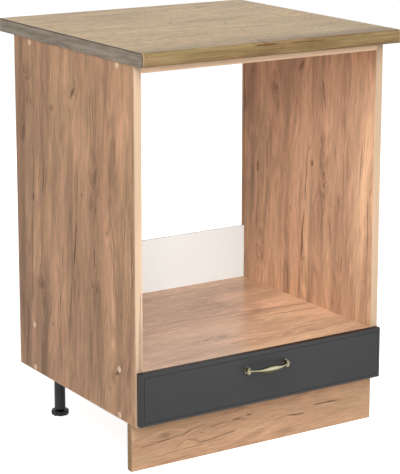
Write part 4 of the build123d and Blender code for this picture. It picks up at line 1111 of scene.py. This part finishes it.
class OVENUNIT_OT_screws(bpy.types.Operator):
    """Stands recessed, threaded screws in place of the plain ones"""

    bl_idname = "oven_unit.screws"
    bl_label = "Screws and Dowels"

    def execute(self, context):
        finish, sizes = context.scene.oven_unit_finish, context.scene.oven_unit_sizes
        zinc = zinc_material(finish)
        dress(HIDDEN_SCREWS, zinc)
        dress(["carcass_dowels"], beech_material(finish))
        tree = fastener_tree()
        recess = (True, sizes.recess_width, sizes.recess_depth)
        wood_screw = fastener_inputs(7, 1.2, 0.8, recess, 3.5, sizes.thread_pitch, 0.25, 5)
        machine_screw = fastener_inputs(8, 2, 0.7, recess, 4, 0.7 * MM, 0.1, 0.7)
        for node in ROUND_HEADED_SCREWS:
            inputs = machine_screw if node == "handle_screws" else wood_screw
            stand_fasteners(context, tree, node, f"recessed_{node}", zinc, inputs)
        return {"FINISHED"}


class OVENUNIT_OT_caps(bpy.types.Operator):
    """Stands domed caps over the housing screws in place of the plain ones"""

    bl_idname = "oven_unit.caps"
    bl_label = "Screw Caps"

    def execute(self, context):
        finish, sizes = context.scene.oven_unit_finish, context.scene.oven_unit_sizes
        moulding = plastic_material("cap_moulding", finish.cap, 0.45, 0.04)
        tree = fastener_tree()
        inputs = fastener_inputs(13, 0.8, sizes.cap_crown, (False, 1 * MM, 0.1 * MM), 3.9, 1 * MM, 0.0, 0.6)
        for node in CAP_NODES:
            stand_fasteners(context, tree, node, f"domed_{node}", moulding, inputs)
        return {"FINISHED"}


FLOOR_SIZE = 60.0
FLOOR_GREY = (0.7, 0.7, 0.7)
FLOOR_GLOW = 0.88
# Each lamp's place, the point that it looks at, and its size.
LAMPS = (
    ("overhead", (0.0, -0.3, 3.2), (0.0, 0.0, 0.5), 2.4),
    ("front", (-0.1, -3.2, 1.4), (0.0, 0.0, 0.42), 1.2),
    ("left", (-1.6, -3.2, 2.2), (0.0, 0.0, 0.42), 1.5),
    ("key", (-1.0, -1.8, 2.6), (0.0, 0.0, 0.3), 1.0),
    ("right", (3.0, 0.2, 1.6), (0.0, 0.0, 0.42), 1.6),
    ("wall", (0.3, 3.0, 1.3), (0.0, 0.0, 0.42), 1.6),
    ("niche", (-0.03, -0.3, 0.52), (0.05, 0.3, 0.35), 0.5),
)
# The photograph's size, and where the lens's axis meets it, in pixels.
PHOTO_WIDTH = 400
PHOTO_HEIGHT = 474
LENS_AXIS = (214.07, 180.0)


def camera_rays(net):
    """1 on rays that see the stage straight, in a reflection or through glass."""
    path = net.add("ShaderNodeLightPath").outputs
    return net.most(path["Is Camera Ray"], path["Is Glossy Ray"], path["Is Transmission Ray"])


def white_world(scene, ambient):
    """A world that shows white and lights everything evenly."""
    world = bpy.data.worlds.new("studio_surround")
    world.use_nodes = True
    scene.world = world
    net = Net(world.node_tree)
    background = next(node for node in net.tree.nodes if node.type == "BACKGROUND")
    background.inputs["Color"].default_value = (1, 1, 1, 1)
    net.feed(background.inputs["Strength"], net.line(camera_rays(net), 0.0, 1.0, ambient))


def studio_floor(scene):
    """A wide pale floor that shows nearly white and keeps a faint shadow."""
    mesh = bpy.data.meshes.new("studio_floor")
    half = FLOOR_SIZE / 2
    corners = [(-half, -half, 0), (half, -half, 0), (half, half, 0), (-half, half, 0)]
    mesh.from_pydata(corners, [], [(0, 1, 2, 3)])
    floor = bpy.data.objects.new("studio_floor", mesh)
    scene.collection.objects.link(floor)
    material = bpy.data.materials.new("studio_floor")
    material.use_nodes = True
    net = Net(material.node_tree)
    net.tree.nodes.clear()
    matt = net.out("ShaderNodeBsdfDiffuse", {"Color": (*FLOOR_GREY, 1.0)})
    glow = net.out("ShaderNodeEmission", {"Strength": net.times(camera_rays(net), FLOOR_GLOW)})
    net.add("ShaderNodeOutputMaterial", {0: net.out("ShaderNodeAddShader", {0: matt, 1: glow})})
    mesh.materials.append(material)


def area_lamp(scene, name, place, target, size, power):
    """A square soft lamp that looks at a point and doesn't show itself."""
    data = bpy.data.lights.new(name, "AREA")
    data.shape = "SQUARE"
    data.size = size
    data.energy = power
    lamp = bpy.data.objects.new(name, data)
    lamp.location = place
    lamp.rotation_euler = (Vector(target) - Vector(place)).to_track_quat("-Z", "Y").to_euler()
    lamp.visible_camera = False
    lamp.visible_glossy = False
    scene.collection.objects.link(lamp)


def studio_camera(scene, studio):
    """The photograph's camera: its place, its turn and the off-centre window of its lens."""
    data = bpy.data.cameras.new("studio_camera")
    data.lens = studio.lens
    data.sensor_width = 36.0
    data.shift_x = (PHOTO_WIDTH / 2 - LENS_AXIS[0]) / PHOTO_HEIGHT
    data.shift_y = (LENS_AXIS[1] - PHOTO_HEIGHT / 2) / PHOTO_HEIGHT
    data.clip_end = 2 * FLOOR_SIZE
    camera = bpy.data.objects.new("studio_camera", data)
    turn = Euler((math.pi / 2 - studio.camera_dip, 0, -studio.camera_turn)).to_matrix()
    roll = Matrix.Rotation(studio.camera_roll, 3, "Z")
    camera.matrix_world = Matrix.Translation(studio.camera_place) @ (turn @ roll).to_4x4()
    scene.collection.objects.link(camera)
    scene.camera = camera


class OVENUNIT_OT_studio(bpy.types.Operator):
    """Sets up floor, surround, lamps and the camera at the photograph's angle"""

    bl_idname = "oven_unit.studio"
    bl_label = "Studio"

    def execute(self, context):
        scene = context.scene
        studio = scene.oven_unit_studio
        scene.view_settings.view_transform = "Standard"
        white_world(scene, studio.ambient)
        studio_floor(scene)
        for name, place, target, size in LAMPS:
            area_lamp(scene, f"{name}_lamp", place, target, size, getattr(studio, f"{name}_power"))
        studio_camera(scene, studio)
        return {"FINISHED"}


PIECE_OPERATORS = (
    OVENUNIT_OT_boards,
    OVENUNIT_OT_bands,
    OVENUNIT_OT_worktop,
    OVENUNIT_OT_sheets,
    OVENUNIT_OT_drawer_front,
    OVENUNIT_OT_handle,
    OVENUNIT_OT_legs,
    OVENUNIT_OT_runners,
    OVENUNIT_OT_screws,
    OVENUNIT_OT_caps,
    OVENUNIT_OT_studio,
)
SETTINGS = {
    "oven_unit_finish": OvenUnitFinish,
    "oven_unit_sizes": OvenUnitSizes,
    "oven_unit_studio": OvenUnitStudio,
}


class VIEW3D_PT_oven_unit(bpy.types.Panel):
    """Lists the unit's operators and their settings"""

    bl_label = "Oven Housing Unit"
    bl_space_type = "VIEW_3D"
    bl_region_type = "UI"
    bl_category = "Oven Unit"

    def draw(self, context):
        for operator in PIECE_OPERATORS:
            self.layout.operator(operator.bl_idname)
        for group in SETTINGS:
            settings = getattr(context.scene, group)
            box = self.layout.box()
            for name in settings.__annotations__:
                box.prop(settings, name)


CLASSES = (*SETTINGS.values(), *PIECE_OPERATORS, VIEW3D_PT_oven_unit)


def register():
    for cls in CLASSES:
        bpy.utils.register_class(cls)
    for name, group in SETTINGS.items():
        setattr(bpy.types.Scene, name, bpy.props.PointerProperty(type=group))


def unregister():
    for name in SETTINGS:
        delattr(bpy.types.Scene, name)
    for cls in reversed(CLASSES):
        bpy.utils.unregister_class(cls)


def main():
    register()
    for operator in PIECE_OPERATORS:
        group, name = operator.bl_idname.split(".")
        getattr(getattr(bpy.ops, group), name)()


if __name__ == "__main__":
    main()
